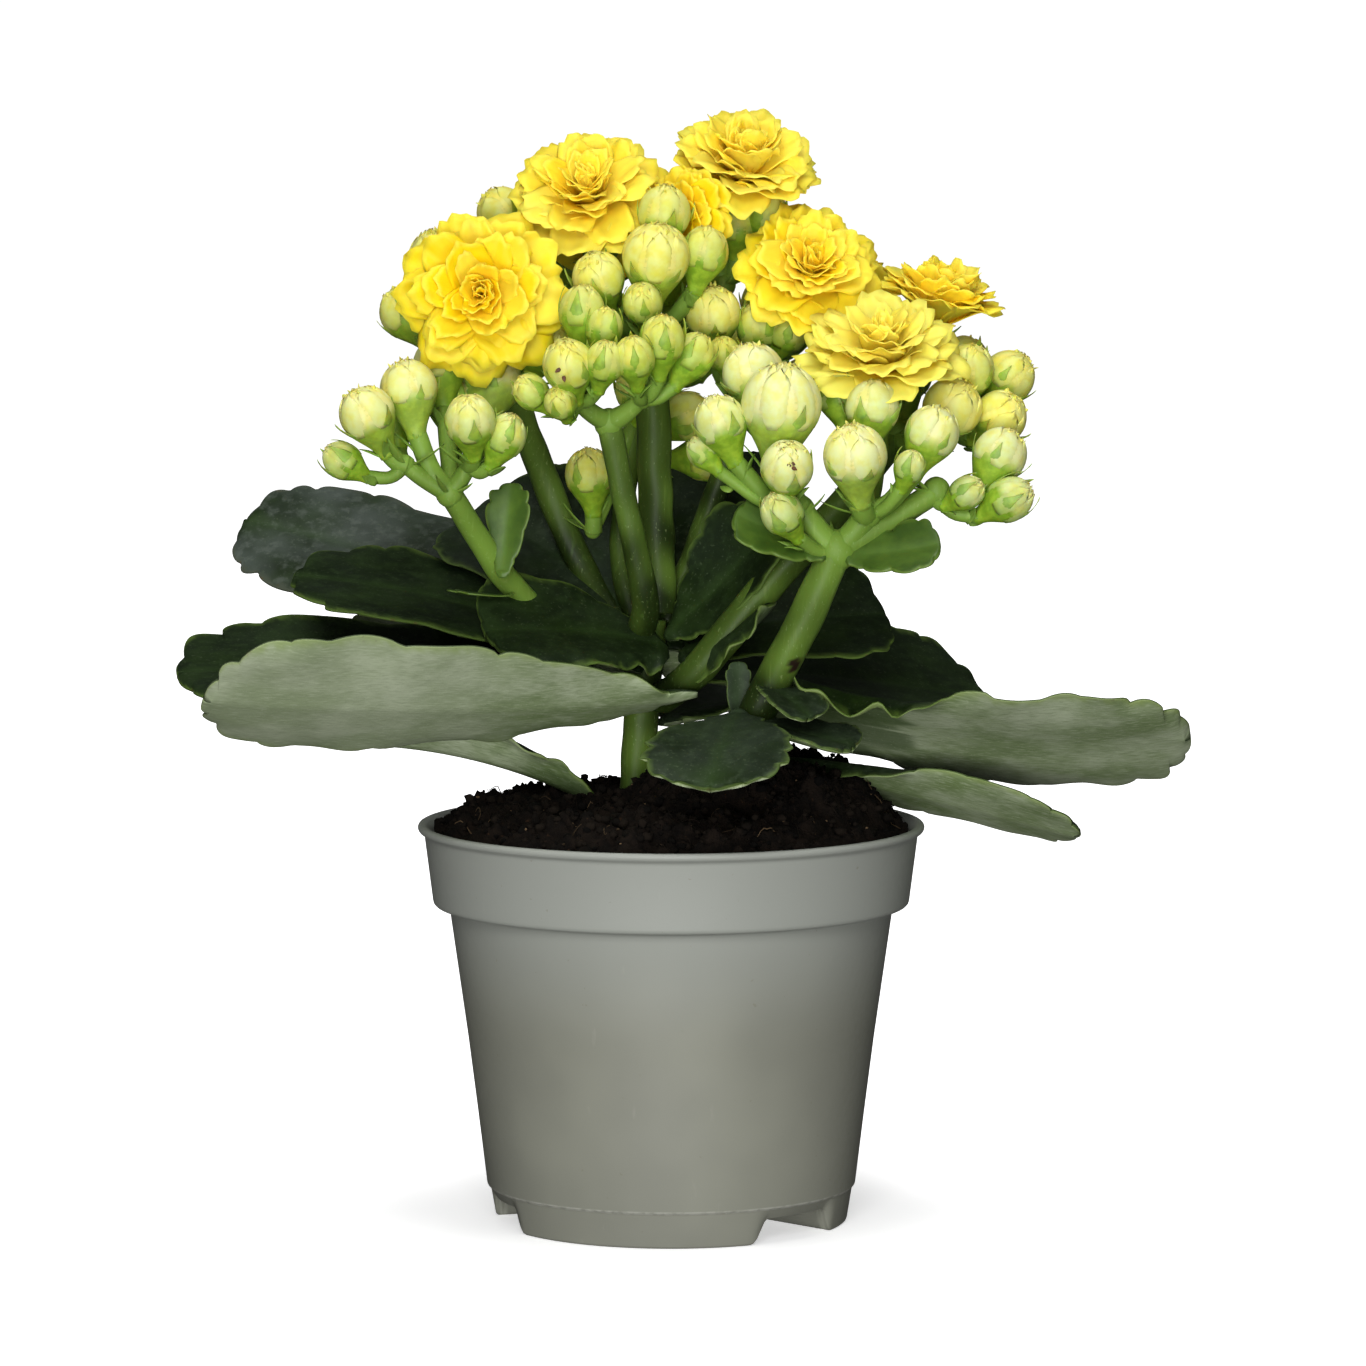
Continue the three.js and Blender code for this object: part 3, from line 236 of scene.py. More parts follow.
# on: the cyme and fork that the flower grows on. centre: the middle of its back. facing: the way that it looks.
# cup: degrees that its petals are still closed by. pale: 0 for deep yellow to 1 for lemon.
BLOOMS = [
    dict(name="bloom_left", on=("cyme_upper_left", 0), centre=(-32.6, -9.5, 165), facing=(-0.06, -0.97, 0.12),
         radius=15, cup=0, pale=0.1),
    dict(name="bloom_top_left", on=("cyme_top", 3), centre=(-14.2, 1, 179.2), facing=(-0.1, -0.68, 0.7), radius=14.5,
         cup=6, pale=0.4),
    dict(name="bloom_top", on=("cyme_top", 2), centre=(4, 1, 178.2), facing=(-0.5, -0.85, 0.06), radius=9.3, cup=2,
         pale=0),
    dict(name="bloom_top_right", on=("cyme_top", 2), centre=(12.4, 9, 183.2), facing=(0.14, -0.5, 0.85), radius=14,
         cup=12, pale=0.5),
    dict(name="bloom_mid_right", on=("cyme_mid_right", 1), centre=(23.6, 1, 166.5), facing=(0.16, -0.76, 0.6),
         radius=13.5, cup=8, pale=0.2),
    dict(name="bloom_right", on=("cyme_right", 2), centre=(36.8, -13.5, 151), facing=(-0.04, -0.42, 0.9), radius=15,
         cup=5, pale=0.95),
    dict(name="bloom_far_right", on=("cyme_far_right", 0), centre=(46, 5, 158), facing=(0.22, -0.1, 0.95), radius=13,
         cup=24, pale=0.3),
    dict(name="bloom_back", on=("cyme_back", 2), centre=(-13, 27, 170), facing=(-0.15, 0.6, 0.78), radius=13, cup=4,
         pale=0.2),
    dict(name="bloom_back_right", on=("cyme_back_right", 1), centre=(26.5, 27, 162.5), facing=(0.2, 0.6, 0.78),
         radius=13.5, cup=4, pale=0.4),
]
BLOOM_TWIG = 1.7
PETAL_FOOT = 0.8  # how far from the flower's axis a petal starts
BRACT = dict(fold=10, curl=24, deep=2.2)  # for the bracts that say nothing else
STEM_RIBS = 0.035  # height of a stem's ribs, and how uneven it is, against its radius
CRUMBS = 3600
ROOTS = 110

# Whorls of petals, from the outside in: how many, reach and width against the bloom's radius, climb in degrees at
# the foot and at the tip, and how far each petal wraps round the flower's axis.
WHORLS = [
    dict(petals=9, reach=1.0, width=0.78, climb=(20, -8), wrap=0.1),
    dict(petals=9, reach=0.98, width=0.7, climb=(30, 4), wrap=0.15),
    dict(petals=8, reach=0.92, width=0.6, climb=(40, 20), wrap=0.2),
    dict(petals=7, reach=0.85, width=0.52, climb=(50, 36), wrap=0.2),
    dict(petals=7, reach=0.77, width=0.42, climb=(60, 52), wrap=0.2),
    dict(petals=6, reach=0.68, width=0.34, climb=(70, 68), wrap=0.25),
    dict(petals=6, reach=0.57, width=0.27, climb=(80, 84), wrap=0.3),
    dict(petals=5, reach=0.46, width=0.22, climb=(88, 96), wrap=0.3),
]

# ---- numbers


def smooth(low, high, value):
    """0 below low, 1 above high, and a smooth step between."""
    t = np.clip((value - low) / (high - low), 0.0, 1.0)
    return t * t * (3.0 - 2.0 * t)


def mix(a, b, t):
    """From a, where t is 0, to b, where t is 1."""
    return a + (b - a) * t


def unit(v):
    """A vector, or each of many, at length 1."""
    v = np.asarray(v, float)
    return v / np.maximum(np.linalg.norm(v, axis=-1, keepdims=True), 1e-12)


def frame_of(axis):
    """Two directions across an axis."""
    axis = unit(axis)
    guess = np.array([0.3, 1.0, 0.2])
    across = unit(guess - axis * guess.dot(axis))
    return across, np.cross(axis, across)


def around(count):
    """Angles of points set evenly round a circle."""
    return np.arange(count) * 2 * math.pi / count


def ball(rows, columns, gap=0.0):
    """Directions in rings down a sphere, from an angle past its top to as far before its bottom."""
    v = np.linspace(gap, math.pi - gap, rows)[:, None]
    u = around(columns)
    return np.stack([np.sin(v) * np.cos(u), np.sin(v) * np.sin(u), np.cos(v) * np.ones_like(u)], -1)


def spoke(across, third, angle):
    """The direction at an angle, or at each of many, from `across` towards `third`."""
    angle = np.asarray(angle)[..., None]
    return across * np.cos(angle) + third * np.sin(angle)


class Waves:
    """Smooth noise over a plane or a space, from its own seed, between about -1 and 1."""

    def __init__(self, seed, dimensions=2):
        rng = np.random.default_rng(seed)
        self.directions = unit(rng.normal(size=(14, dimensions))) * rng.uniform(0.6, 1.6, (14, 1))
        self.phases = rng.uniform(0, 2 * math.pi, 14)

    def __call__(self, points, wavelength, octaves=1):
        total = 0.0
        weight = 1.0
        for octave in range(octaves):
            k = 2 * math.pi / wavelength * 2.1**octave
            angle = points @ self.directions.T * k + self.phases * (octave + 1)
            total = total + weight * np.sin(angle).sum(-1) / 3.2
            weight *= 0.5
        return total


# ---- meshes


def link(name, data):
    """A new object in the scene, made of a mesh, a lamp or a camera."""
    made = bpy.data.objects.new(name, data)
    bpy.context.scene.collection.objects.link(made)
    return made


class Skin:
    """Points and faces of one piece, with the numbers that its materials read at each point."""

    def __init__(self):
        self.points = []
        self.quads = []
        self.triangles = []
        self.quad_slots = []
        self.triangle_slots = []
        self.marks = []
        self.count = 0

    def add(self, points, quads=(), triangles=(), slot=0, marks=()):
        """Adds points, their faces in one material slot, and the marks in the order of MARKS."""
        points = np.asarray(points, float).reshape(-1, 3)
        quads = np.asarray(quads, int).reshape(-1, 4)
        triangles = np.asarray(triangles, int).reshape(-1, 3)
        marks = [*marks, *[0] * (len(MARKS) - len(marks))]
        values = [np.broadcast_to(np.asarray(m, float), len(points)) for m in marks]
        self.points.append(points)
        self.quads.append(quads + self.count)
        self.triangles.append(triangles + self.count)
        self.quad_slots.append(np.full(len(quads), slot))
        self.triangle_slots.append(np.full(len(triangles), slot))
        self.marks.append(np.stack(values, axis=1))
        self.count += len(points)

    def build(self, name, materials, record_slot, *nodes):
        """The piece that stands for the named CAD nodes."""
        points = np.concatenate(self.points) * MM
        quads = np.concatenate(self.quads)
        triangles = np.concatenate(self.triangles)
        mesh = bpy.data.meshes.new(name)
        mesh.vertices.add(len(points))
        mesh.vertices.foreach_set("co", points.ravel())
        corners = np.concatenate([quads.ravel(), triangles.ravel()])
        starts = np.concatenate([np.arange(len(quads)) * 4, len(quads) * 4 + np.arange(len(triangles)) * 3])
        mesh.loops.add(len(corners))
        mesh.loops.foreach_set("vertex_index", corners)
        mesh.polygons.add(len(starts))
        mesh.polygons.foreach_set("loop_start", starts)
        slots = np.concatenate(self.quad_slots + self.triangle_slots)
        mesh.polygons.foreach_set("material_index", slots)
        mesh.polygons.foreach_set("use_smooth", np.ones(len(starts), bool))
        for column, mark in enumerate(MARKS):
            values = np.concatenate(self.marks)[:, column]
            mesh.attributes.new(mark, "FLOAT", "POINT").data.foreach_set("value", values)
        mesh.update(calc_edges=True)
        mesh.validate()
        for material in materials:
            mesh.materials.append(material)
        piece = link(name, mesh)
        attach(piece, "root")
        if nodes:
            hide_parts(*nodes)
        return piece


def grid_quads(rows, columns, closed=False):
    """Faces of a grid of points in rows. A closed grid joins its last column to its first."""
    r, c = np.meshgrid(np.arange(rows - 1), np.arange(columns if closed else columns - 1), indexing="ij")
    a = r * columns + c
    b = r * columns + (c + 1) % columns
    return np.stack([a, b, b + columns, a + columns], axis=-1).reshape(-1, 4)


def add_tube(skin, rings, slot=0, marks=()):
    """Rings of points as a closed bar, with a point at the middle of each end."""
    rings = np.asarray(rings)
    rows, columns, _ = rings.shape
    ends = np.array([rings[0].mean(0), rings[-1].mean(0)])
    body = rings.reshape(-1, 3)
    n = len(body)
    around = np.arange(columns)
    after = (around + 1) % columns
    last = (rows - 1) * columns
    caps = np.concatenate([
        np.stack([np.full(columns, n), after, around], 1),
        np.stack([np.full(columns, n + 1), last + around, last + after], 1),
    ])
    spread = [np.broadcast_to(np.asarray(m, float), (rows, columns)) if np.ndim(m) else m for m in marks]
    filled = [np.concatenate([m.ravel(), [m[0].mean(), m[-1].mean()]]) if np.ndim(m) else m for m in spread]
    skin.add(np.concatenate([body, ends]), grid_quads(rows, columns, True), caps, slot, filled)


def add_plate(skin, top, bottom, slot=0, marks=(), bottom_slot=None):
    """Two grids of points, one over the other, as a closed blade. The bottom shares the top's marks."""
    rows, columns, _ = top.shape
    face = grid_quads(rows, columns)
    n = rows * columns
    first = np.arange(columns)
    border = np.concatenate([
        first[:-1],
        np.arange(rows - 1) * columns + columns - 1,
        (rows - 1) * columns + first[:0:-1],
        np.arange(rows - 1, 0, -1) * columns,
    ])
    after = np.roll(border, -1)
    wall = np.stack([border, border + n, after + n, after], 1)
    points = np.concatenate([top.reshape(-1, 3), bottom.reshape(-1, 3)])
    both = [np.concatenate([np.broadcast_to(m, (rows, columns)).ravel()] * 2) if np.ndim(m) else m for m in marks]
    if bottom_slot is None:
        skin.add(points, np.concatenate([face, face[:, ::-1] + n, wall]), (), slot, both)
    else:
        start = skin.count
        skin.add(points, np.concatenate([face, wall]), (), slot, both)
        skin.quads.append(face[:, ::-1] + n + start)
        skin.quad_slots.append(np.full(len(face), bottom_slot))


def curve_through(path, t):
    """Points on a smooth curve through the path's points, for t from 0 to 1."""
    path = np.asarray(path, float)
    spans = len(path) - 1
    padded = np.concatenate([[2 * path[0] - path[1]], path, [2 * path[-1] - path[-2]]])
    place = np.clip(np.asarray(t) * spans, 0, spans)
    i = np.minimum(place.astype(int), spans - 1)
    w = (place - i)[:, None]
    p0, p1, p2, p3 = padded[i], padded[i + 1], padded[i + 2], padded[i + 3]
    return 0.5 * (2 * p1 + (p2 - p0) * w + (2 * p0 - 5 * p1 + 4 * p2 - p3) * w**2 + (3 * p1 - p0 - 3 * p2 + p3) * w**3)


def tube_rings(path, radii, sides, steps, ridge=0.0):
    """Rings round a smooth curve, with a radius that runs through `radii`. `ridge` raises four soft ribs."""
    t = np.linspace(0, 1, steps + 1)
    centres = curve_through(path, t)
    radius = np.interp(t, np.linspace(0, 1, len(radii)), radii)
    along = unit(np.gradient(centres, axis=0))
    across = frame_of(along[0])[0]
    angles = around(sides)
    swell = 1 + ridge * np.cos(4 * angles)
    rings = []
    for centre, direction, r in zip(centres, along, radius):
        across = unit(across - direction * across.dot(direction))
        third = np.cross(direction, across)
        rings.append(centre + (r * swell)[:, None] * spoke(across, third, angles))
    return np.array(rings)


# ---- materials


def srgb(red, green, blue):
    """A colour as seen, 0 to 255, as the shader's linear colour."""
    values = [c / 255 for c in (red, green, blue)]
    return (*[c / 12.92 if c <= 0.04045 else ((c + 0.055) / 1.055) ** 2.4 for c in values], 1.0)


class Finish:
    """A procedural material and the few kinds of node that it is made of."""

    def __init__(self, name, **settings):
        self.material = bpy.data.materials.new(name)
        self.material.use_nodes = True
        self.tree = self.material.node_tree
        self.shader = self.tree.nodes["Principled BSDF"]
        self.place = self.node("ShaderNodeTexCoord").outputs["Object"]
        for socket, value in settings.items():
            self.shader.inputs[socket.replace("_", " ")].default_value = value

    def node(self, kind, **settings):
        """A new node with some of its settings."""
        made = self.tree.nodes.new(kind)
        for key, value in settings.items():
            setattr(made, key, value)
        return made

    def feed(self, socket, value):
        """Joins a node's output to a socket, or sets the socket to a plain value."""
        if isinstance(value, bpy.types.NodeSocket):
            self.tree.links.new(value, socket)
        else:
            socket.default_value = value

    def mark(self, name):
        """One of the numbers that the piece holds at each point."""
        return self.node("ShaderNodeAttribute", attribute_name=name).outputs["Fac"]

    def place_of(self, x, y):
        """A place made of two marks, for patterns that run along a leaf or a petal."""
        made = self.node("ShaderNodeCombineXYZ")
        self.feed(made.inputs[0], self.mark(x))
        self.feed(made.inputs[1], self.mark(y))
        return made.outputs[0]

    def noise(self, size_mm, detail=3, stretch=(1, 1, 1), rough=0.55, place=None):
        """Noise with blots of about a size. `stretch` below 1 draws them out along that axis."""
        mapped = self.node("ShaderNodeMapping")
        self.feed(mapped.inputs["Vector"], place or self.place)
        mapped.inputs["Scale"].default_value = stretch
        noise = self.node("ShaderNodeTexNoise")
        self.feed(noise.inputs["Vector"], mapped.outputs["Vector"])
        noise.inputs["Scale"].default_value = 1 / (size_mm * MM)
        noise.inputs["Detail"].default_value = detail
        noise.inputs["Roughness"].default_value = rough
        return noise.outputs["Fac"]

    def step(self, value, low, high, to_low=0.0, to_high=1.0):
        """A smooth step from to_low, where the value is low, to to_high, where it is high."""
        ranged = self.node("ShaderNodeMapRange", interpolation_type="SMOOTHSTEP")
        self.feed(ranged.inputs["Value"], value)
        for key, number in zip(("From Min", "From Max", "To Min", "To Max"), (low, high, to_low, to_high)):
            ranged.inputs[key].default_value = number
        return ranged.outputs["Result"]

    def times(self, a, b):
        made = self.node("ShaderNodeMath", operation="MULTIPLY")
        self.feed(made.inputs[0], a)
        self.feed(made.inputs[1], b)
        return made.outputs[0]

    def blend(self, factor, a, b):
        made = self.node("ShaderNodeMix", data_type="RGBA")
        self.feed(made.inputs[0], factor)
        self.feed(made.inputs[6], a)
        self.feed(made.inputs[7], b)
        return made.outputs[2]

    def color(self, value):
        self.feed(self.shader.inputs["Base Color"], value)

    def rough(self, value):
        self.feed(self.shader.inputs["Roughness"], value)

    def spots(self, size_mm, low, high, detail=3, stretch=(1, 1, 1)):
        """Soft patches: noise that is 0 below low and 1 above high."""
        return self.step(self.noise(size_mm, detail, stretch), low, high)

    def layer(self, body, mask, share, color):
        """The body with another colour over it, by a share of the mask."""
        return self.blend(self.times(mask, share), body, color)

    def bump(self, height, depth_mm, strength=1.0):
        """Adds relief on top of what is there already."""
        made = self.node("ShaderNodeBump")
        made.inputs["Strength"].default_value = strength
        made.inputs["Distance"].default_value = depth_mm * MM
        self.feed(made.inputs["Height"], height)
        before = self.shader.inputs["Normal"].links
        if before:
            self.feed(made.inputs["Normal"], before[0].from_socket)
        self.feed(self.shader.inputs["Normal"], made.outputs["Normal"])


def pot_finish():
    f = Finish("pot_plastic", Roughness=0.5, Specular_IOR_Level=0.35)
    fine = f.noise(1.6, 4)
    base = f.blend(f.spots(24, 0.35, 0.7, 2), srgb(127, 128, 117), srgb(134, 135, 123))
    split = f.node("ShaderNodeSeparateXYZ")
    f.feed(split.inputs[0], f.place)
    height = split.outputs["Z"]
    # painted light: the pot turns lighter from about 34 mm up into the collar, where more light falls on it
    base = f.blend(f.step(height, 0.034, 0.06), base, srgb(148, 151, 144))
    # painted highlight: a thin pale line along the top edge of the foot band
    line = f.times(f.step(height, 0.0061, 0.0063), f.step(height, 0.0066, 0.0069, 1.0, 0.0))
    base = f.layer(base, line, f.step(fine, 0.3, 0.6, 0.1, 0.6), srgb(190, 190, 180))
    base = f.layer(base, f.spots(2.4, 0.68, 0.76, 3, (1, 1, 0.25)), 0.12, srgb(168, 169, 158))
    f.color(f.layer(base, f.spots(1.1, 0.73, 0.78, 2), 0.35, srgb(112, 104, 84)))
    f.rough(f.step(fine, 0.3, 0.8, 0.42, 0.56))
    f.bump(f.noise(0.5, 3), 0.03, 0.3)
    return f.material


def soil_finish():
    f = Finish("peat", Roughness=0.95, Specular_IOR_Level=0.1)
    dark = f.blend(f.spots(3.0, 0.35, 0.65, 4), srgb(11, 8, 6), srgb(24, 18, 13))
    f.color(f.blend(f.spots(1.0, 0.66, 0.74), dark, srgb(44, 31, 21)))
    f.bump(f.noise(0.7, 4), 0.5, 0.9)
    return f.material


def crumb_finish():
    """Mark a: from dark crumbs at 0 to pale roots at 1."""
    f = Finish("peat_crumbs", Roughness=0.95, Specular_IOR_Level=0.1)
    shade = f.mark("a")
    base = f.blend(f.step(shade, 0.0, 0.8), srgb(6, 5, 4), srgb(24, 19, 14))
    f.color(f.blend(f.step(shade, 0.93, 1.0), base, srgb(112, 92, 68)))
    f.bump(f.noise(0.4, 4), 0.3, 0.8)
    return f.material


def stem_finish():
    """Marks: a how pale, b a brown scar."""
    f = Finish("stem_green", Roughness=0.48, Specular_IOR_Level=0.22, Subsurface_Weight=0.06, Subsurface_Scale=0.002)
    pale = f.mark("a")
    base = f.blend(pale, srgb(30, 44, 10), srgb(122, 156, 60))
    light = f.blend(pale, srgb(66, 88, 34), srgb(150, 178, 84))
    base = f.layer(base, f.spots(0.9, 0.55, 0.75, 3, (1, 1, 0.08)), 0.4, light)
    base = f.layer(base, f.spots(0.45, 0.64, 0.72, 2, (1, 1, 0.5)), 0.2, srgb(170, 192, 128))
    f.color(f.blend(f.mark("b"), base, srgb(34, 22, 15)))
    f.bump(f.noise(0.6, 3, (1, 1, 0.3)), 0.1, 0.35)
    return f.material


def leaf_finish(name, upper):
    """Marks: a at the margin, b on the midrib, c across and d along the leaf, e the painted sheen of the upper side
    and, where low, the underside's painted shade.
    """
    f = Finish(name, Specular_IOR_Level=0.07 if upper else 0.2, Coat_Roughness=0.25, Coat_Weight=0.03 if upper else 0)
    edge, rib, grey = f.mark("a"), f.mark("b"), f.mark("e")
    cloud = f.noise(9, 3)
    grain = f.noise(0.55, 2)
    if upper:
        body = f.blend(f.step(cloud, 0.35, 0.7), srgb(17, 30, 8), srgb(31, 48, 15))
        # painted sheen: grey patches of reflection laid into the upper side by mark e, which also greys the specks
        # below
        body = f.layer(body, grey, f.spots(14, 0.2, 0.8), srgb(76, 84, 78))
        body = f.layer(body, f.spots(2.2, 0.45, 0.7, 4), 0.3, f.blend(grey, srgb(40, 62, 18), srgb(104, 112, 104)))
        body = f.layer(body, rib, 0.3, srgb(50, 72, 32))
        body = f.layer(body, f.step(grain, 0.62, 0.7), 0.22, srgb(92, 104, 80))
        margin = f.blend(grey, srgb(84, 108, 42), srgb(74, 80, 66))
    else:
        along = f.place_of("c", "d")
        fibres = f.noise(0.42, 4, (1, 0.17, 1), 0.65, along)
        broad = f.noise(16, 3, (1, 0.7, 1), 0.6, along)
        body = f.blend(f.step(broad, 0.38, 0.66), srgb(112, 131, 84), srgb(170, 181, 150))
        body = f.layer(body, f.step(cloud, 0.4, 0.7), 0.5, srgb(106, 126, 74))
        body = f.layer(body, f.step(fibres, 0.5, 0.66), 0.4, srgb(184, 195, 164))
        body = f.layer(body, f.step(fibres, 0.36, 0.5, 1.0, 0.0), 0.35, srgb(84, 102, 58))
        body = f.layer(body, rib, 0.08, srgb(147, 168, 115))
        # painted shade: the underside darkens where mark e is low, towards the foot of shaded leaves; a high e gives a
        # paler tone
        body = f.blend(f.step(grey, 0.0, 0.3, 0.75, 0.0), body, srgb(62, 82, 42))
        body = f.layer(body, f.step(grey, 0.3, 1.0), 0.5, srgb(188, 196, 170))
        body = f.layer(body, f.step(grain, 0.64, 0.72), 0.25, srgb(186, 196, 166))
        margin = srgb(128, 147, 78)
    margin = f.layer(margin, f.spots(1.3, 0.62, 0.7), 0.6, srgb(92, 78, 46))
    # on the upper side the margin is laid on strongly: partly the leaf's own lighter edge, partly a painted highlight
    # along its rim
    f.color(f.layer(body, edge, 0.85 if upper else 0.6, margin))
    f.rough(f.step(cloud, 0.3, 0.7, 0.48 if upper else 0.5, 0.6))
    f.bump(f.noise(3.2, 2), 0.3, 0.4)
    f.bump(f.noise(1.0, 3), 0.14, 0.4)
    f.bump(grain, 0.06, 0.3)
    return f.material


def bud_finish():
    """Marks: a how green, b a fold's line, c the crumpled crown, d how pale, e withered."""
    f = Finish("bud_petals", Roughness=0.5, Specular_IOR_Level=0.35, Subsurface_Weight=0.2, Subsurface_Scale=0.002)
    cloud = f.spots(2.2, 0.35, 0.7, 2)
    yellow = f.blend(cloud, srgb(255, 240, 126), srgb(253, 229, 84))
    cream = f.blend(f.mark("d"), yellow, f.blend(cloud, srgb(255, 248, 180), srgb(255, 241, 140)))
    leafy = f.blend(f.spots(1.6, 0.35, 0.7), srgb(100, 148, 26), srgb(140, 181, 46))
    body = f.blend(f.mark("a"), cream, leafy)
    body = f.layer(body, f.mark("c"), 0.4, srgb(234, 220, 84))
    body = f.layer(body, f.mark("b"), 0.45, srgb(206, 204, 66))
    f.color(f.blend(f.mark("e"), body, srgb(84, 54, 22)))
    f.bump(f.noise(1.1, 3), 0.1, 0.35)
    return f.material


def petal_finish():
    """Marks: a from foot to tip, b how pale, c how deep the petal stands in the flower, for painted shade in its
    heart, d across and e along it.
    """
    f = Finish("flower_petals", Roughness=0.55, Specular_IOR_Level=0.3, Subsurface_Weight=0.2, Subsurface_Scale=0.003)
    tip, along = f.mark("a"), f.place_of("d", "e")
    yellow = f.blend(f.mark("b"), srgb(255, 218, 6), srgb(255, 240, 104))
    body = f.blend(f.step(tip, 0.0, 0.5), srgb(255, 202, 5), yellow)
    # painted shade: petals deep in the flower turn deeper orange, as much as mark c
    body = f.layer(body, f.mark("c"), 0.25, srgb(255, 194, 4))
    veins = f.step(f.noise(0.5, 3, (1, 0.05, 1), 0.6, along), 0.45, 0.65)
    body = f.layer(body, veins, 0.14, srgb(255, 230, 44))
    body = f.layer(body, f.spots(3.0, 0.5, 0.75, 2), 0.16, srgb(255, 228, 40))
    f.color(f.blend(f.step(tip, 0.9, 1.0, 0.0, 0.4), body, srgb(255, 236, 84)))
    f.bump(f.noise(0.6, 3, (1, 0.08, 1), 0.6, along), 0.08, 0.35)
    f.bump(f.noise(1.6, 3), 0.12, 0.3)
    return f.material


def bract_finish():
    """The small leaves on the flower stalks. Marks: a at the margin, b on the midrib."""
    f = Finish("bract_green", Roughness=0.45, Specular_IOR_Level=0.4, Subsurface_Weight=0.05, Subsurface_Scale=0.002)
    body = f.blend(f.spots(5, 0.35, 0.7), srgb(54, 80, 22), srgb(76, 104, 32))
    body = f.layer(body, f.mark("b"), 0.3, srgb(104, 136, 58))
    f.color(f.layer(body, f.mark("a"), 0.6, srgb(112, 138, 58)))
    f.bump(f.noise(1.2, 3), 0.12, 0.35)
    return f.material


POT_FINISH = pot_finish()
SOIL_FINISH = soil_finish()
CRUMB_FINISH = crumb_finish()
STEM_FINISH = stem_finish()
LEAF_TOP = leaf_finish("leaf_upper_side", True)
LEAF_UNDER = leaf_finish("leaf_underside", False)
BUD_FINISH = bud_finish()
PETAL_FINISH = petal_finish()
BRACT_FINISH = bract_finish()

# ---- pot


def underside(x, y):
    """Height of the pot's underside: channels between three feet."""
    height = np.zeros_like(x)
    half = POT["channel_width"] / 2
    for angle in np.radians(POT["channel_angles"]):
        along = x * math.cos(angle) + y * math.sin(angle)
        across = np.abs(-x * math.sin(angle) + y * math.cos(angle))
        side = (1 - smooth(half - 1.2, half + 2.2, across)) ** 1.6
        start = smooth(POT["channel_start"] - 1, POT["channel_start"] + 1, along)
        height = np.maximum(height, POT["channel_height"] * side * start)
    return height


def rounded(corners, radius=0.5, steps=4):
    """A profile with each inner corner rounded."""
    corners = np.asarray(corners, float)
    points = [corners[0]]
    for before, corner, after in zip(corners, corners[1:], corners[2:]):
        back, ahead = before - corner, after - corner
        reach = min(radius, 0.45 * np.linalg.norm(back), 0.45 * np.linalg.norm(ahead))
        start, end = corner + unit(back) * reach, corner + unit(ahead) * reach
        for t in np.linspace(0, 1, steps):
            points.append((1 - t) ** 2 * start + 2 * t * (1 - t) * corner + t**2 * end)
    points.append(corners[-1])
    return np.array(points)


def ring_grid(profile, segments):
    """Radius and height pairs swept round the Z axis."""
    angles = around(segments)
    x = profile[:, :1] * np.cos(angles)
    y = profile[:, :1] * np.sin(angles)
    z = np.repeat(profile[:, 1:], segments, axis=1)
    return np.stack([x, y, z], axis=-1)


def make_pot():
    """The pot's thin shell, swept round the axis and then lifted into channels under its base."""
    p = POT
    t = p["thickness"]
    base = p["foot_radius"] - p["foot_slope"]
    bottom = np.stack([np.linspace(0.4, base, 30), np.zeros(30)], 1)
    outer = rounded([
        (base, 0), (p["foot_radius"], 0), (p["band_radius"], p["band_top"]),
        (p["wall_foot_radius"], p["band_top"] + 0.35), *p["wall_between"],
        (p["wall_top_radius"], p["collar_foot"] - 0.3), (p["collar_foot_radius"] - 0.1, p["collar_foot"] + 0.1),
        (p["collar_foot_radius"] + 0.1, p["collar_foot"] + 1.6),
        (p["collar_top_radius"], p["height"] - p["lip_height"] - 0.6),
        (p["lip_radius"] - 0.2, p["height"] - p["lip_height"]), (p["lip_radius"], p["height"] - 0.55),
        (p["lip_radius"] - 0.35, p["height"]), (p["lip_radius"] - 1.5, p["height"]),
        (p["collar_top_radius"] - t, p["height"] - 1.6), (p["collar_foot_radius"] - t, p["collar_foot"] + t),
        (p["wall_top_radius"] - t, p["collar_foot"] - 1), (p["wall_foot_radius"] - t, p["band_top"] + 1),
        (base - t, t),
    ], 0.7)
    floor = np.stack([np.linspace(p["foot_radius"] - 1.4 - t, 0.4, 30), np.full(30, t)], 1)
    profile = np.concatenate([bottom, outer, floor])
    rings = ring_grid(profile, 288)
    rise = underside(rings[..., 0], rings[..., 1])
    keep = 1 - np.clip(rings[..., 2] / p["band_top"], 0, 1)
    outside = np.arange(len(profile)) < len(bottom) + 16  # the rows up to the wall's foot
    rings[..., 2] += rise * np.where(outside[:, None], keep, (profile[:, 1:] < p["band_top"]) * 1.0)
    skin = Skin()
    add_tube(skin, rings)
    return skin.build("nursery_pot", [POT_FINISH], "pot", "pot")


# ---- soil


def soil_height(x, y):
    """The mound's height, as in the part's source."""
    reach = np.hypot(x - SOIL["crown_at"][0], y - SOIL["crown_at"][1]) / SOIL["crown_spread"]
    clods = 0.9 * np.sin(0.47 * x + 1.3) * np.cos(0.41 * y) + 0.6 * np.sin(0.9 * x - 0.7 * y)
    shoulder = (SOIL["shoulder"] - SOIL["edge"]) * np.exp(-((np.hypot(x, y) / SOIL["shoulder_radius"]) ** 10))
    return SOIL["edge"] + shoulder + (SOIL["crown"] - SOIL["shoulder"]) * np.exp(-(reach**8)) + clods


def soil_surface(x, y):
    """The mound with its crumbly relief."""
    places = np.stack([x, y], -1)
    relief = 0.5 * Waves(11)(places, 7.0, 2) + 0.45 * Waves(12)(places, 2.4, 2)
    return soil_height(x, y) + np.clip(relief, -1.8, 1.8)


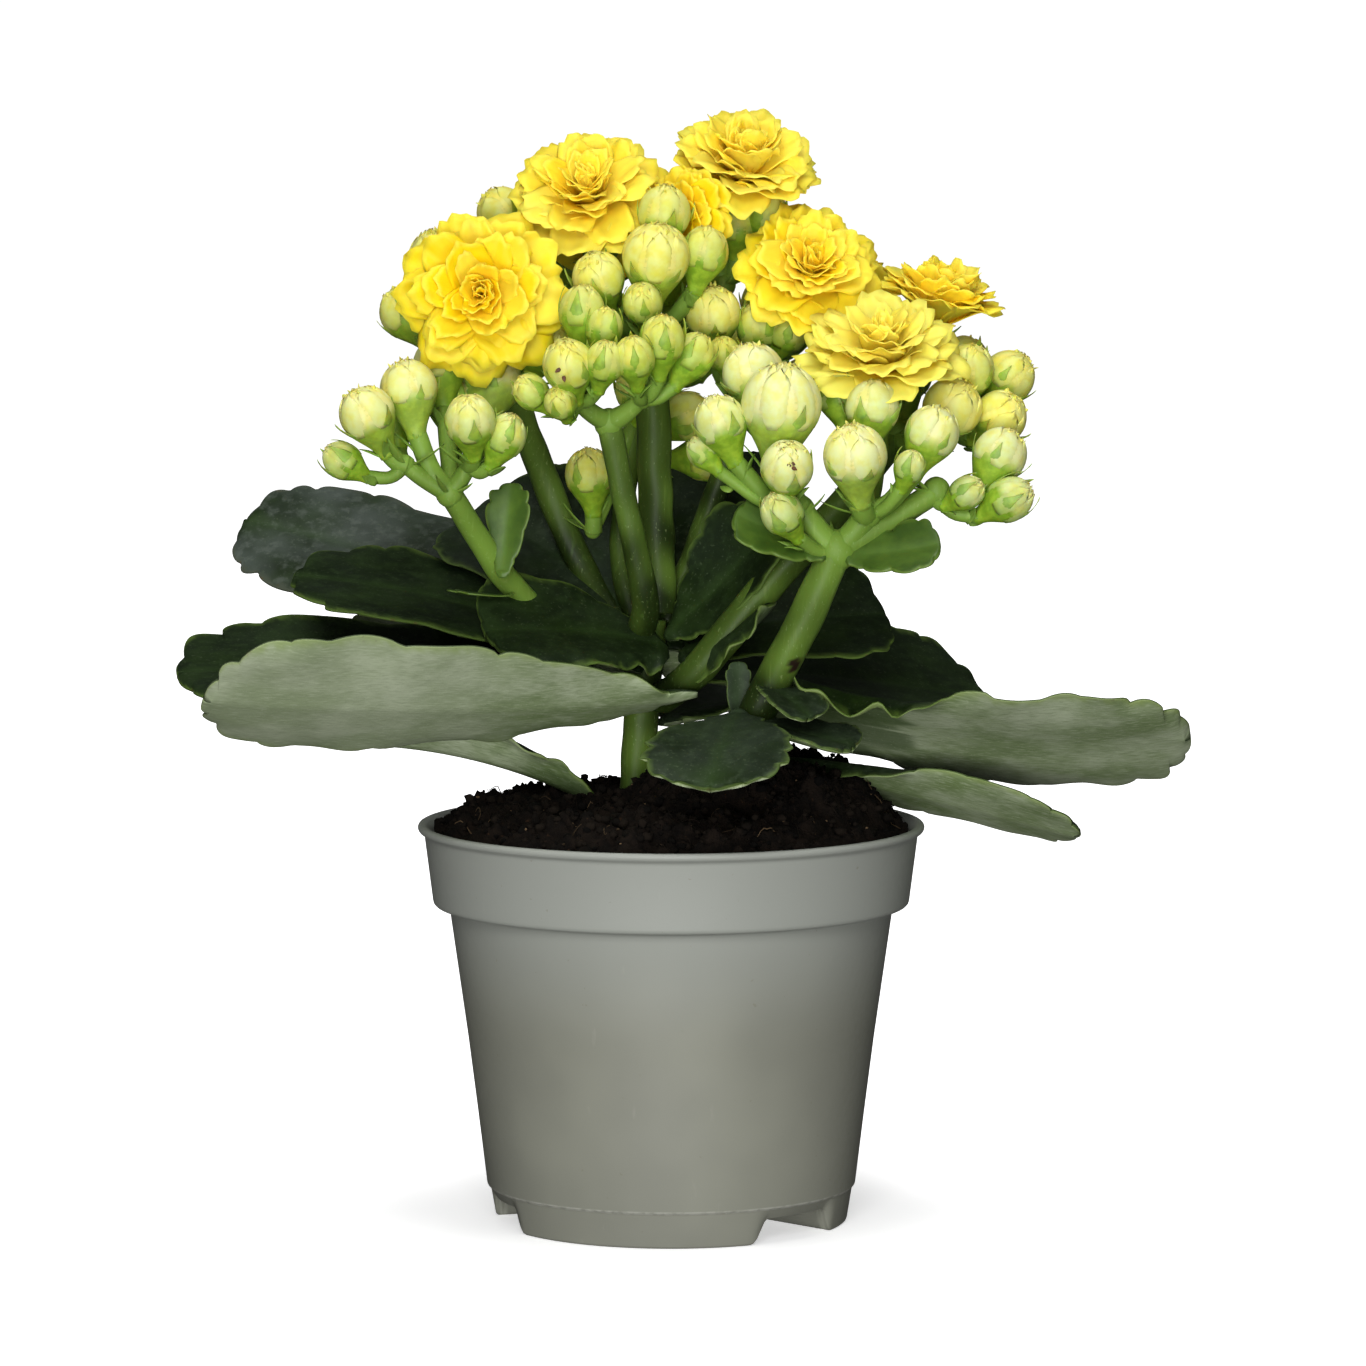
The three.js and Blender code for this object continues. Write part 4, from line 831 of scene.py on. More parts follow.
def make_soil():
    """The soil as one closed body that fills the pot just short of its wall."""
    radius = POT["collar_top_radius"] - POT["thickness"] - 0.45
    segments = 260
    t = POT["thickness"] + 0.35
    angles = around(segments)
    reach = np.linspace(0.3, radius, 96)[:, None]
    x, y = reach * np.cos(angles), reach * np.sin(angles)
    top = np.stack([x, y, soil_surface(x, y)], -1)
    side = ring_grid(np.array([
        (radius - 0.4, 62), (POT["collar_foot_radius"] - t, POT["collar_foot"] + t),
        (POT["wall_top_radius"] - t, POT["collar_foot"] - 1), (POT["wall_foot_radius"] - t, POT["band_top"] + 1.5),
        (POT["foot_radius"] - 1.5 - t, t), (20, t), (10, t), (0.3, t),
    ]), segments)
    side[4:, :, 2] += underside(side[4:, :, 0], side[4:, :, 1])
    skin = Skin()
    add_tube(skin, np.concatenate([top, side])[::-1])
    return skin.build("soil_mound", [SOIL_FINISH], "soil", "soil")


def make_crumbs():
    """Loose crumbs of peat and fine root fibres on the mound."""
    rng = np.random.default_rng(5)
    skin = Skin()
    golden = (1 + 5**0.5) / 2
    corners = unit([(s, t * golden, 0) for s in (-1, 1) for t in (-1, 1)]
                   + [(0, s, t * golden) for s in (-1, 1) for t in (-1, 1)]
                   + [(s * golden, 0, t) for s in (-1, 1) for t in (-1, 1)])
    gaps = np.linalg.norm(corners[:, None] - corners[None], axis=-1)
    faces = []
    for a in range(12):
        for b in range(a + 1, 12):
            for c in range(b + 1, 12):
                if max(gaps[a, b], gaps[b, c], gaps[a, c]) < 1.1:
                    out = np.cross(corners[b] - corners[a], corners[c] - corners[a]).dot(corners[a]) > 0
                    faces.append((a, b, c) if out else (a, c, b))
    radius = POT["collar_top_radius"] - POT["thickness"] - 1.6
    for _ in range(CRUMBS):
        reach, angle = radius * math.sqrt(rng.random()), rng.random() * 2 * math.pi
        x, y = reach * math.cos(angle), reach * math.sin(angle)
        size = 0.2 + 1.0 * rng.random() ** 4
        z = float(soil_surface(np.array([x]), np.array([y]))[0]) + 0.2 * size
        lumps = corners * (0.7 + 0.6 * rng.random((12, 1))) * size * (1, 1, 0.8)
        skin.add(lumps + (x, y, z), (), faces, 0, (rng.random() * (1.0 if size < 0.5 else 0.9), 0, 0, 0))
    for _ in range(ROOTS):
        reach, angle = (radius - 2) * math.sqrt(rng.random()), rng.random() * 2 * math.pi
        length, turn, bow = rng.uniform(2, 8), rng.random() * TURN, rng.uniform(-1.5, 1.5)
        t = np.linspace(-0.5, 0.5, 6)
        x = reach * math.cos(angle) + length * t * math.cos(turn) - bow * (1 - 4 * t * t) * math.sin(turn)
        y = reach * math.sin(angle) + length * t * math.sin(turn) + bow * (1 - 4 * t * t) * math.cos(turn)
        inside = np.minimum(1, radius / np.hypot(x, y))
        x, y = x * inside, y * inside
        z = soil_surface(x, y) + 0.35 + rng.uniform(0, 0.5) * (t + 0.5)
        rings = tube_rings(np.stack([x, y, z], 1), [0.06, 0.11, 0.06], 5, 8)
        add_tube(skin, rings, 0, (0.7 + 0.27 * rng.random(), 0, 0, 0))
    return skin.build("soil_crumbs", [CRUMB_FINISH], "soil", "soil")


# ---- leaves


def leaf_outline(leaf, turns):
    """Distance along the leaf and half-width, for angles from the blade's foot, 0, to its tip, 180 degrees: first
    with the notches between the lobes, then without, and the stalk's length."""
    small = leaf["length"] < LEAF["small"]
    stalk = leaf["length"] * LEAF["stalk"]
    stalk_half = leaf.get("base", min(LEAF["stalk_half_width"], leaf["width"] * 0.16))
    blade = leaf["length"] - stalk
    depth = LEAF["lobe_depth"] * leaf["deep"] * (0.45 if small else leaf["width"] / 44)
    share = (180 - LEAF["lobe_start"]) / (leaf["lobes"] + 0.5)
    order = np.arange(leaf["lobes"] + 2)
    notches = LEAF["lobe_start"] + share * (order + LEAF["lobe_drift"] * np.sin(2.4 * order + leaf["length"]))
    depths = depth * (0.75 + 0.35 * np.sin(1.7 * order + leaf["width"]))
    lobe = np.clip(np.searchsorted(notches, turns, "right") - 1, 0, leaf["lobes"])
    part = np.clip((turns - notches[lobe]) / (notches[lobe + 1] - notches[lobe]), 0, 1)
    if leaf["sharp"]:
        bulge = np.where(part < 0.8, (part / 0.8) ** 0.8, (1 - part) / 0.2)
    else:
        bulge = np.sin(math.pi * part**0.85) ** 0.55
    inset = mix(depths[lobe], depths[lobe + 1], part) * (1 - np.clip(bulge, 0, 1))
    inset = inset * smooth(LEAF["lobe_start"] - 6, LEAF["lobe_start"], turns) * (1 - smooth(172, 178, turns))
    inset = inset * (1 - 0.2 * smooth(138, 165, turns))
    angle = np.radians(turns)
    blunt = np.where(turns > 90, LEAF["blunt"], 1)
    half = leaf["width"] / 2 * np.sin(angle) ** blunt * (1 - LEAF["obovate"] * np.cos(angle)) / LEAF["broadest"]
    end = np.sign(np.cos(angle)) * np.abs(np.cos(angle)) ** blunt
    middle = stalk + blade * (1 - end) / 2
    whole = np.where(turns < 90, (half**4 + stalk_half**4) ** 0.25, half)
    half = np.clip(half - inset * np.sin(angle), 0, None)
    half = np.where(turns < 90, (half**4 + stalk_half**4) ** 0.25, half)
    return middle + inset * np.cos(angle), half, middle, whole, stalk


def leaf_sheet(leaf):
    """The function that carries points along, across and above the flat leaf to the leaf's place. The leaf climbs
    from its first pitch to its second, is folded along the midrib and curls up on both sides of it."""
    length = leaf["length"]
    steps = 60
    yaw = np.radians(leaf["heading"])
    roll = np.radians(leaf["roll"])
    level = np.array([-np.sin(yaw), np.cos(yaw), 0.0])

    def directions(t):
        climb = np.radians(mix(*leaf["pitch"], t))
        forward = np.stack([np.cos(climb) * np.cos(yaw), np.cos(climb) * np.sin(yaw), np.sin(climb)], -1)
        side = level * np.cos(roll) + np.cross(forward, level) * np.sin(roll)
        return forward, side, np.cross(forward, side)

    middles = (np.arange(steps) + 0.5) / steps
    spine = np.concatenate([[leaf["foot"]], leaf["foot"] + np.cumsum(directions(middles)[0] * length / steps, 0)])

    def place(along, across, lift):
        t = np.clip(along / length, 0, 1)
        i = np.minimum((t * steps).astype(int), steps - 1)
        w = (t * steps - i)[..., None]
        centre = spine[i] * (1 - w) + spine[i + 1] * w
        forward, side, up = directions(t)
        start = math.radians(leaf["fold"]) * np.minimum(1, t * 4)
        k = math.radians(leaf["curl"]) / (leaf["width"] / 2)
        reach = np.abs(across)
        lateral = (np.sin(start + k * reach) - np.sin(start)) / k
        soft = np.hypot(reach, 2.5) - 2.5
        rise = (np.cos(start) - np.cos(start + k * soft)) / k
        lean = start + k * reach
        sign = np.sign(across)
        shift = sign * (lateral - lift * np.sin(lean) * np.abs(sign))
        return (centre + forward * (along - t * length)[..., None] + side * shift[..., None]
                + up * (rise + lift * np.cos(lean))[..., None])

    return place


def add_leaf(skin, leaf, slots=(0, 1), seed=0):
    """A fleshy scalloped leaf as a closed blade."""
    leaf = HABIT | leaf
    rows = int(24 + 14 * leaf["lobes"])
    turns = 180 * np.linspace(0, 1, rows)
    along, half, middle, whole, stalk = leaf_outline(leaf, turns)
    stalk_rows = 6
    foot_rows = np.linspace(0, stalk * 0.96, stalk_rows)
    along, middle = np.concatenate([foot_rows, along]), np.concatenate([foot_rows, middle])
    half, whole = [np.concatenate([h[0] * np.linspace(0.45, 1, stalk_rows), h]) for h in (half, whole)]
    turns = np.concatenate([np.zeros(stalk_rows), turns])
    one_side = np.array([0, 0.05, 0.13, 0.25, 0.38, 0.52, 0.66, 0.78, 0.88, 0.95, 0.985, 1.0])
    s = np.concatenate([-one_side[:0:-1], one_side])[None, :]
    length = leaf["length"]
    on_blade = smooth(stalk * 0.5, stalk * 1.3, along)[:, None]
    spread = mix(1.0, np.abs(s) ** 2.5, on_blade)
    middle = mix(along, np.clip(length * 0.5 + 0.97 * (middle - length * 0.5), 0, length), on_blade[:, 0])
    flow = middle[:, None] + (along - middle)[:, None] * spread
    across = s * mix(whole[:, None], half[:, None], np.abs(s) ** 3)
    out = np.clip(np.abs(across) / np.maximum(whole, 0.3)[:, None], 0, 1)
    waves = Waves(seed)
    wave = LEAF["wave"] * waves(np.stack([flow, across], -1), LEAF["wave_length"]) * out**2 * on_blade
    frill = LEAF["frill"] * np.sin(np.radians(turns) * 2 * leaf["lobes"])[:, None] * out**6 * on_blade
    drop = (wave + frill) * (leaf["width"] / 44)
    stout = mix(1.5, 1.0, on_blade) * LEAF["rib_thickness"] * min(1, leaf["width"] / 20)
    thick = mix(stout, LEAF["edge_thickness"] * min(1, leaf["width"] / 16), out**1.6)
    thick = thick * np.sqrt(np.clip(1 - 0.93 * np.abs(s) ** 9, 0, 1))
    thick[:stalk_rows] *= np.linspace(0.4, 1, stalk_rows)[:, None]
    ridges = (LEAF["groove"], LEAF["keel"])
    groove, keel = [depth * np.exp(-((across / reach) ** 2)) * on_blade for depth, reach in ridges]
    for side, first, last, depth in leaf["hems"]:
        t = flow / length
        here = smooth(first - 0.05, first + 0.08, t) * (1 - smooth(last - 0.12, last + 0.04, t))
        uneven = 1 + 0.25 * waves(np.stack([flow, across], -1), 9.0)
        turned = smooth(0.7, 1.0, np.sign(s) * side * out) * here * uneven
        drop = drop - depth * turned
        across = across * (1 - 0.05 * turned)
    place = leaf_sheet(leaf)
    top = place(flow, across, drop + thick / 2 - groove)
    under = place(flow, across, drop - thick / 2 - keel)
    edge = smooth(0.92, 0.99, np.abs(s) + 0.015 * waves(np.stack([flow, across], -1), 3.0)) * on_blade
    rib = np.exp(-((across / 1.4) ** 2)) * np.ones_like(flow)
    brushed = flow / length + 0.05 * waves(np.stack([0.25 * flow, 2 * across], -1), 5.0)
    grey = leaf["grey"] * mix(leaf["shade"], 1, smooth(*leaf["shaded"], brushed))
    marks = (edge, rib, across * MM, flow * MM + 0.3 * seed, grey)
    add_plate(skin, top[:, ::-1], under[:, ::-1], slots[0], [m[:, ::-1] for m in marks], slots[1])


def make_leaves():
    """Each leaf of the plant as a piece of its own."""
    for seed, leaf in enumerate(LEAVES):
        skin = Skin()
        add_leaf(skin, leaf, seed=seed + 1)
        skin.build(leaf["name"] + "_blade", [LEAF_TOP, LEAF_UNDER], "leaf", leaf["name"])


# ---- flower heads


def add_stem(skin, path, radii, pale, seed=0, sides=18, steps=40, scars=()):
    """A stem with soft ribs, a slightly uneven thickness, a tone that runs through `pale`, and brown scars."""
    rings = tube_rings(path, radii, sides, steps, STEM_RIBS)
    centre = rings.mean(1, keepdims=True)
    waves = Waves(seed, 3)
    rings = centre + (rings - centre) * (1 + STEM_RIBS * waves(rings, 9.0))[..., None]
    t = np.linspace(0, 1, steps + 1)[:, None] * np.ones((1, sides))
    tone = mix(pale[0], pale[1], t) + 0.12 * waves(rings, 14.0)
    brown = np.zeros_like(tone)
    for x, y, z, size in scars:
        away = np.linalg.norm(rings - (x, y, z), axis=-1) + 0.5 * waves(rings, 1.7)
        brown = np.maximum(brown, 1 - smooth(0.7 * size, 1.1 * size, away))
    add_tube(skin, rings, 0, (np.clip(tone, 0, 1), brown, 0, 0))


def add_blade(skin, foot, direction, normal, length, width, bow=0.0, slot=0, marks=(), thickness=0.35):
    """A small lance-shaped blade, for sepals, leaflets and petal tips. `bow` bends it along its normal."""
    direction = unit(direction)
    normal = unit(np.asarray(normal, float) - direction * np.dot(normal, direction))
    side = np.cross(normal, direction)
    t = np.linspace(0, 1, 7)[:, None]
    s = np.array([-1, -0.5, 0, 0.5, 1.0])[None, :]
    half = width / 2 * np.clip(np.sin(math.pi * (0.12 + 0.88 * t) ** 0.75), 0, 1) ** 0.8
    level = bow * length * t**2 - 0.12 * width * (1 - s**2) * np.sin(math.pi * t)
    middle = foot + direction * (length * t * np.ones_like(s))[..., None] \
        + side * (half * s)[..., None] + normal * (level * np.ones_like(s))[..., None]
    lift = normal * (thickness / 2 * (1 - 0.8 * s**4) * (1 - 0.6 * t))[..., None]
    add_plate(skin, (middle + lift)[:, ::-1], (middle - lift)[:, ::-1], slot, marks)


def add_shell(skin, centre, axes, radius, middle, spans, half, shape, marks, pale):
    """A blade that hugs a bud. `middle`: where it stands round the bud. `spans`: the angles from the bud's top at
    its foot and its tip. `half`: half its width against the radius. `shape`: how far it stands off the bud at the
    foot and at the tip, how much longer than wide the bud is, and how toothed the blade's tip is."""
    rows, columns = 10, 9
    across, third, axis = axes
    lift_foot, lift_tip, tall, teeth = shape
    t = np.linspace(0, 1, rows)[:, None]
    s = np.linspace(-1, 1, columns)[None, :]
    taper = np.sqrt(np.clip(1.0 - t**2.6, 0, 1)) if teeth else 1.0 - t**1.8
    broad = half * np.minimum(1, (t + 0.3) / 0.55) * taper
    broad[-1] = 0.06 * half
    v = mix(spans[0], spans[1], t) - teeth * (np.arange(columns) % 2) * t**6 + 0.25 * half * s**2 * t
    u = middle + s * broad / np.maximum(np.sin(v), 0.32)
    off = 1 + mix(lift_foot, lift_tip, t**3) - 0.035 * s**2
    way = spoke(across, third, u) * np.sin(v)[..., None] + axis * (tall * np.cos(v))[..., None]
    thick = 0.022 * (1 - 0.5 * t) * (1 - 0.5 * s**2)
    over = centre + way * (radius * (off + thick))[..., None]
    under = centre + way * (radius * (off - thick))[..., None]
    green, line, crown = marks
    edge = line * smooth(0.55, 1.0, np.abs(s)) * np.ones_like(t)
    add_plate(skin, over, under, 1, (mix(green[0], green[1], t) * np.ones_like(s), edge, crown, pale, 0))


def add_bud(skin, fork, bud, pale, rng):
    """A bud of folded petals in a cup of pointed sepals, on its twig. Slot 1 is the buds' finish."""
    young = float(np.clip((BUD["young"][0] - bud[3]) / BUD["young"][1], 0, 1))
    radius = bud[3] * (1 + BUD["young_swell"] * young)
    centre = np.array(bud[:3], float)
    fork = np.asarray(fork, float)
    axis = unit(unit(centre - fork) + np.array([0, 0, 0.7]) + 0.12 * rng.normal(size=3))
    across, third = frame_of(axis)
    axes = (across, third, axis)
    tall = 1.0 + BUD["young_stretch"] * young
    twig = max(BUD["least_twig"], BUD["twig"] * radius)
    waist = BUD["neck_from"]
    v = np.linspace(0.05, math.pi, 26)[:, None] * np.ones((1, 28))
    u = around(28) * np.ones_like(v)
    low = np.clip((v - waist) / (math.pi - waist), 0, 1)
    ring = mix(radius * np.sin(np.minimum(v, waist)), twig, np.sin(low * math.pi / 2) ** 1.5)
    height = mix(radius * tall * np.cos(np.minimum(v, waist)), -BUD["neck_length"] * radius, low)
    points = centre + axis * height[..., None] + spoke(across, third, u) * ring[..., None]
    green = 0.35 * young + 0.9 * smooth(1.5 - 0.3 * young, 2.1 - 0.2 * young, v)
    add_tube(skin, points[::-1], 1, (green[::-1], 0.3, 0, pale, 0))
    start = rng.uniform(0, TURN)
    count = 7 if radius > BUD["large"] else 5
    for k in range(count):  # the outer petals
        middle = start + k * 2 * math.pi / count + rng.uniform(-0.15, 0.15)
        spans = (2.1, rng.uniform(0.3, 0.62) - 0.1 * young)
        add_shell(skin, centre, axes, radius, middle, spans, rng.uniform(0.62, 0.78) * 5 / count,
                  (0.0, 0.03 + 0.012 * (k % 3), tall, 0.07), ((0.35 + 0.5 * young, 0.2 * young), 0.6, 0.1), pale)
    for _ in range(int(7 + 1.6 * radius)):  # the crumpled petals that show at the top
        polar = rng.uniform(0.05, 0.62)
        add_shell(skin, centre, axes, radius, rng.uniform(0, TURN), (polar + 0.4, polar - 0.2),
                  rng.uniform(0.12, 0.24), (-0.03, rng.uniform(0.02, 0.09), tall, 0.05), ((0.1, 0), 0.8, 0.8), pale)
    for _ in range(int(9 * (1 - young))):  # petal tips that stand up from them
        polar, round_ = rng.uniform(0.15, 0.75), rng.uniform(0, TURN)
        out = axis * math.cos(polar) + spoke(across, third, round_) * math.sin(polar)
        add_blade(skin, centre + out * radius * 0.98, out + 0.5 * axis, rng.normal(size=3), rng.uniform(0.5, 1.1),
                  rng.uniform(0.5, 0.9), 0.2, 1, (0.1, 0.8, 0.9, pale, 0), 0.25)
    for k in range(4):  # the sepals
        middle = start + 0.5 + k * math.pi / 2 + rng.uniform(-0.2, 0.2)
        tip = mix(rng.uniform(1.3, 1.6), rng.uniform(0.45, 0.85), young)
        add_shell(skin, centre, axes, radius, middle, (2.75, tip), mix(0.4, 0.62, young),
                  (-0.04, rng.uniform(0.12, 0.36), tall, 0.0), ((1.0, 0.8), -0.3, 0.0), pale)
    neck = centre - 1.6 * radius * axis
    bend = neck - axis * 0.35 * np.linalg.norm(neck - fork)
    add_stem(skin, [fork, mix(fork, bend, 0.6), neck + 0.3 * axis], [twig * 1.15, twig * 1.02, twig * 1.04],
             (0.8, 1.0), int(rng.integers(1000)), 12, 10)
    for _ in range(2):  # leaflets on the twig
        out = spoke(across, third, rng.uniform(0, TURN))
        add_blade(skin, mix(bend, neck, 0.3) + 0.5 * twig * out, axis + 0.7 * out, out, rng.uniform(0.9, 1.3) * radius,
                  rng.uniform(1.4, 2.2), 0.1, 0, (0.9, 0, 0, 0, 0), 0.4)


def add_knuckle(skin, place, radius):
    """The thick, rounded joint where branches part."""
    add_tube(skin, np.array(place, float) + radius * (ball(10, 16, 0.15) * (1.1, 1, -1.15)), 0, (0.8, 0, 0, 0, 0))


def make_cymes():
    """Each cyme as one piece: stalk, forks, buds, withered spots, the cups of its flowers, leaflets and bracts."""
    for seed, cyme in enumerate(CYMES):
        rng = np.random.default_rng(40 + seed)
        skin = Skin()
        path, radii = cyme["path"], cyme["radii"]
        forks = [path[-1], *cyme["forks"]]
        add_stem(skin, path, radii, cyme.get("tone", (-0.05, 0.5)), seed * 7 + 1, 22, 60, cyme.get("scars", ()))
        width = radii[-1]
        add_knuckle(skin, forks[0], width * 1.12)
        for fork in forks[1:]:
            middle = mix(np.array(forks[0], float), np.array(fork, float), 0.5) - (0, 0, 0.4)
            add_stem(skin, [forks[0], middle, fork], [width * 0.95, width * 0.78, width * 0.7], (0.7, 0.95),
                     seed * 7 + 2, 14, 16)
            add_knuckle(skin, fork, width * 0.78)
        for bud in cyme["buds"]:
            add_bud(skin, forks[bud[4]], bud, cyme.get("pale", 0.2), rng)
        for spot, count in cyme.get("withered", ()):
            for _ in range(count):
                add_blade(skin, spot + 0.35 * rng.normal(size=3), rng.normal(size=3) * (1, 0.2, 1), (0, -1, 0),
                          rng.uniform(0.6, 1.3), 0.7, 0.1, 1, (0, 0, 0, 0, 1), 0.25)
        for bloom in [b for b in BLOOMS if b["on"][0] == cyme["name"]]:
            add_calyx(skin, forks[bloom["on"][1]], bloom, rng)
        for fork in forks:
            for _ in range(3):
                angle = rng.uniform(0, TURN)
                out = np.array([math.cos(angle), math.sin(angle), rng.uniform(0.2, 0.9)])
                foot = np.array(fork, float) + 0.6 * width * unit(out) * (1, 1, 0)
                add_blade(skin, foot, out, (0, 0, 1), rng.uniform(4, 8), rng.uniform(1.2, 2.2), 0.1, 0,
                          (0.8, 0, 0, 0), 0.4)
        for k, bract in enumerate(cyme.get("bracts", [])):
            slots = (3, 4) if bract.get("leaf") else (2, 2)
            add_leaf(skin, BRACT | bract, slots, seed + k)
        finishes = [STEM_FINISH, BUD_FINISH, BRACT_FINISH, LEAF_TOP, LEAF_UNDER]
        skin.build(cyme["name"] + "_sprays", finishes, "cyme", cyme["name"])


def add_calyx(skin, fork, bloom, rng):
    """The twig, the green cup and the sepals under a flower."""
    facing = unit(bloom["facing"])
    back = np.array(bloom["centre"], float)
    fork = np.array(fork, float)
    across, third = frame_of(facing)
    cup = 0.13 * bloom["radius"]
    waist = back - facing * 3.0
    bend = waist - facing * 0.3 * np.linalg.norm(waist - fork)
    add_stem(skin, [fork, mix(fork, bend, 0.6), waist, back + facing * 0.8],
             [BLOOM_TWIG, BLOOM_TWIG * 0.9, BLOOM_TWIG, cup + 0.7], (0.7, 1.0), int(rng.integers(1000)), 14, 24)
    for k in range(4):
        out = spoke(across, third, k * math.pi / 2 + rng.uniform(-0.2, 0.2))
        add_blade(skin, back - facing * 1.6 + out * 1.2, 0.8 * facing + out, facing, bloom["radius"] * 0.42, 2.6,
                  rng.uniform(-0.1, 0.25), 0, (0.85, 0, 0, 0), 0.4)


def petal_grid(length, width, climb, wrap, loose, rng):
    """The middle surface of a petal: it leaves the Z axis along X, widens and ends in small uneven teeth. `loose`
    runs from 0 in the outer whorl to 1 in the inner one, where petals twist most and start nearest the axis."""
    rows, columns = 12, 17
    t = np.linspace(0, 1, rows)[:, None]
    s = np.linspace(-1, 1, columns)[None, :]
    knots = rng.uniform(0.2, 1, 9) * (np.arange(9) % 2)
    knots[4] = rng.uniform(0.4, 1.3)
    teeth = np.interp(np.arange(columns), np.arange(9) * 2, knots)
    skew = rng.uniform(-0.06, 0.06)
    end = 1 - 0.2 * np.abs(s) ** 2.6 + skew * s
    share = t * end + 0.1 * teeth * t**11
    half = width / 2 * (0.12 + 0.88 * np.sin(math.pi / 2 * np.minimum(t / 0.62, 1)) ** 0.9) * (1 - 0.07 * t**2)
    steps = np.linspace(0, 1.15, 60)
    flick = rng.uniform(-22, 14)
    angle = np.radians(mix(climb[0], climb[1], steps**1.2) + flick * steps**4)
    out_at = np.cumsum(np.cos(angle)) * steps[1] * length
    up_at = np.cumsum(np.sin(angle)) * steps[1] * length
    out = np.interp(share, steps, out_at)
    up = np.interp(share, steps, up_at)
    lean = np.interp(share, steps, angle)
    phase = rng.uniform(0, TURN, 2)
    ruffle = 0.045 * width * (np.sin(4.5 * s + phase[0]) + 0.5 * np.sin(9 * s + phase[1])) * t**3
    hollow = 0.1 * width * s**2 * smooth(0.05, 0.7, t) * (1 - 1.3 * smooth(0.75, 1.0, t))
    bent = ruffle + hollow + rng.uniform(-1, 1) * (0.1 + 0.45 * loose) * half * s * t
    across = half * s
    reach = out + PETAL_FOOT * (1 - 0.8 * loose) - bent * np.sin(lean)
    turn = np.clip(wrap * across / np.maximum(reach, 1.5), -2.4, 2.4)
    flat = (1 - wrap) * across
    x = reach * np.cos(turn) - flat * np.sin(turn)
    y = reach * np.sin(turn) + flat * np.cos(turn)
    return np.stack([x, y, up + bent * np.cos(lean)], -1), t * np.ones_like(s), across * np.ones_like(t)


def make_blooms():
    """Each flower as one piece: whorls of petals round the way that it faces."""
    for seed, bloom in enumerate(BLOOMS):
        rng = np.random.default_rng(90 + seed)
        skin = Skin()
        facing = unit(bloom["facing"])
        across, third = frame_of(facing)
        turn = np.stack([across, third, facing])
        radius = bloom["radius"]
        spin = rng.uniform(0, TURN)
        for k, whorl in enumerate(WHORLS):
            count = whorl["petals"]
            loose = k / (len(WHORLS) - 1)
            for i in range(count):
                turned = rng.uniform(-1, 1) * (0.12 + 0.2 * loose)
                angle = spin + (i + 0.5 * (k % 2)) * 2 * math.pi / count + 0.37 * k + turned
                tilt = bloom["cup"] + rng.uniform(-1, 1) * (7 + 10 * loose)
                climb = [min(c + tilt, 92 + 14 * loose) for c in whorl["climb"]]
                length = radius * whorl["reach"] * rng.uniform(0.9, 1.02) - PETAL_FOOT
                width = radius * whorl["width"] * rng.uniform(0.88, 1.1)
                sheet, t, s = petal_grid(length, width, climb, whorl["wrap"], loose, rng)
                normal = unit(np.cross(np.gradient(sheet, axis=0), np.gradient(sheet, axis=1)))
                thick = 0.15 * normal * (1 - 0.6 * t[..., None])
                cos, sin = math.cos(angle), math.sin(angle)
                spun = np.array([[cos, sin, 0], [-sin, cos, 0], [0, 0, 1]])
                lift = np.array([0, 0, 0.9 + 0.4 * k])
                over = ((sheet + thick + lift) @ spun @ turn + bloom["centre"])[:, ::-1]
                under = ((sheet - thick + lift) @ spun @ turn + bloom["centre"])[:, ::-1]
                pale = np.clip(bloom["pale"] + rng.uniform(-0.2, 0.25), 0, 1)
                # painted shade in the flower's heart: inner whorls get more of the deeper colour
                deep = np.clip(k / 9 + rng.uniform(-0.15, 0.2), 0, 1)
                along = t * length * MM + 0.1 * rng.random()
                add_plate(skin, over, under, 0, (t, pale, deep, s[:, ::-1] * MM, along))
        skin.build(bloom["name"] + "_petals", [PETAL_FINISH], "bloom", bloom["name"])


def make_stems():
    """The two stems that rise out of the soil."""
    stems = (("main_stem", TRUNK, (0.2, 0.25), 3, 60), ("side_stem", SIDE_STEM, (0.05, 0.15), 4, 40))
    for name, stem, tone, seed, steps in stems:
        skin = Skin()
        add_stem(skin, stem["path"], stem["radii"], tone, seed, 24, steps)
        skin.build(name + "_round", [STEM_FINISH], "stem", name)


# ---- setting, light and camera

CAMERA_AT = (2.1, -1200.0, 219.0)
CAMERA_DOWN = 5.86
LENS = 179.5
SENSOR = 36.0
FLOOR_GLOW = 0.55  # how much the floor shines of itself under the pot
DOME_RADIUS = 2.6  # in metres
WHITE_GLOW = 1.04  # the same further out and on the dome, which makes them plain white


def stage_mesh(name, rings, finish):
    """Rings of points as a surface that only the camera sees."""
    rows, columns, _ = rings.shape
    mesh = bpy.data.meshes.new(name)
    mesh.from_pydata([tuple(p) for p in rings.reshape(-1, 3)], [], grid_quads(rows, columns, True).tolist())
    mesh.materials.append(finish.material)
    made = link(name, mesh)
    made.visible_diffuse = False
    made.visible_glossy = False
    made.visible_shadow = False
    return made


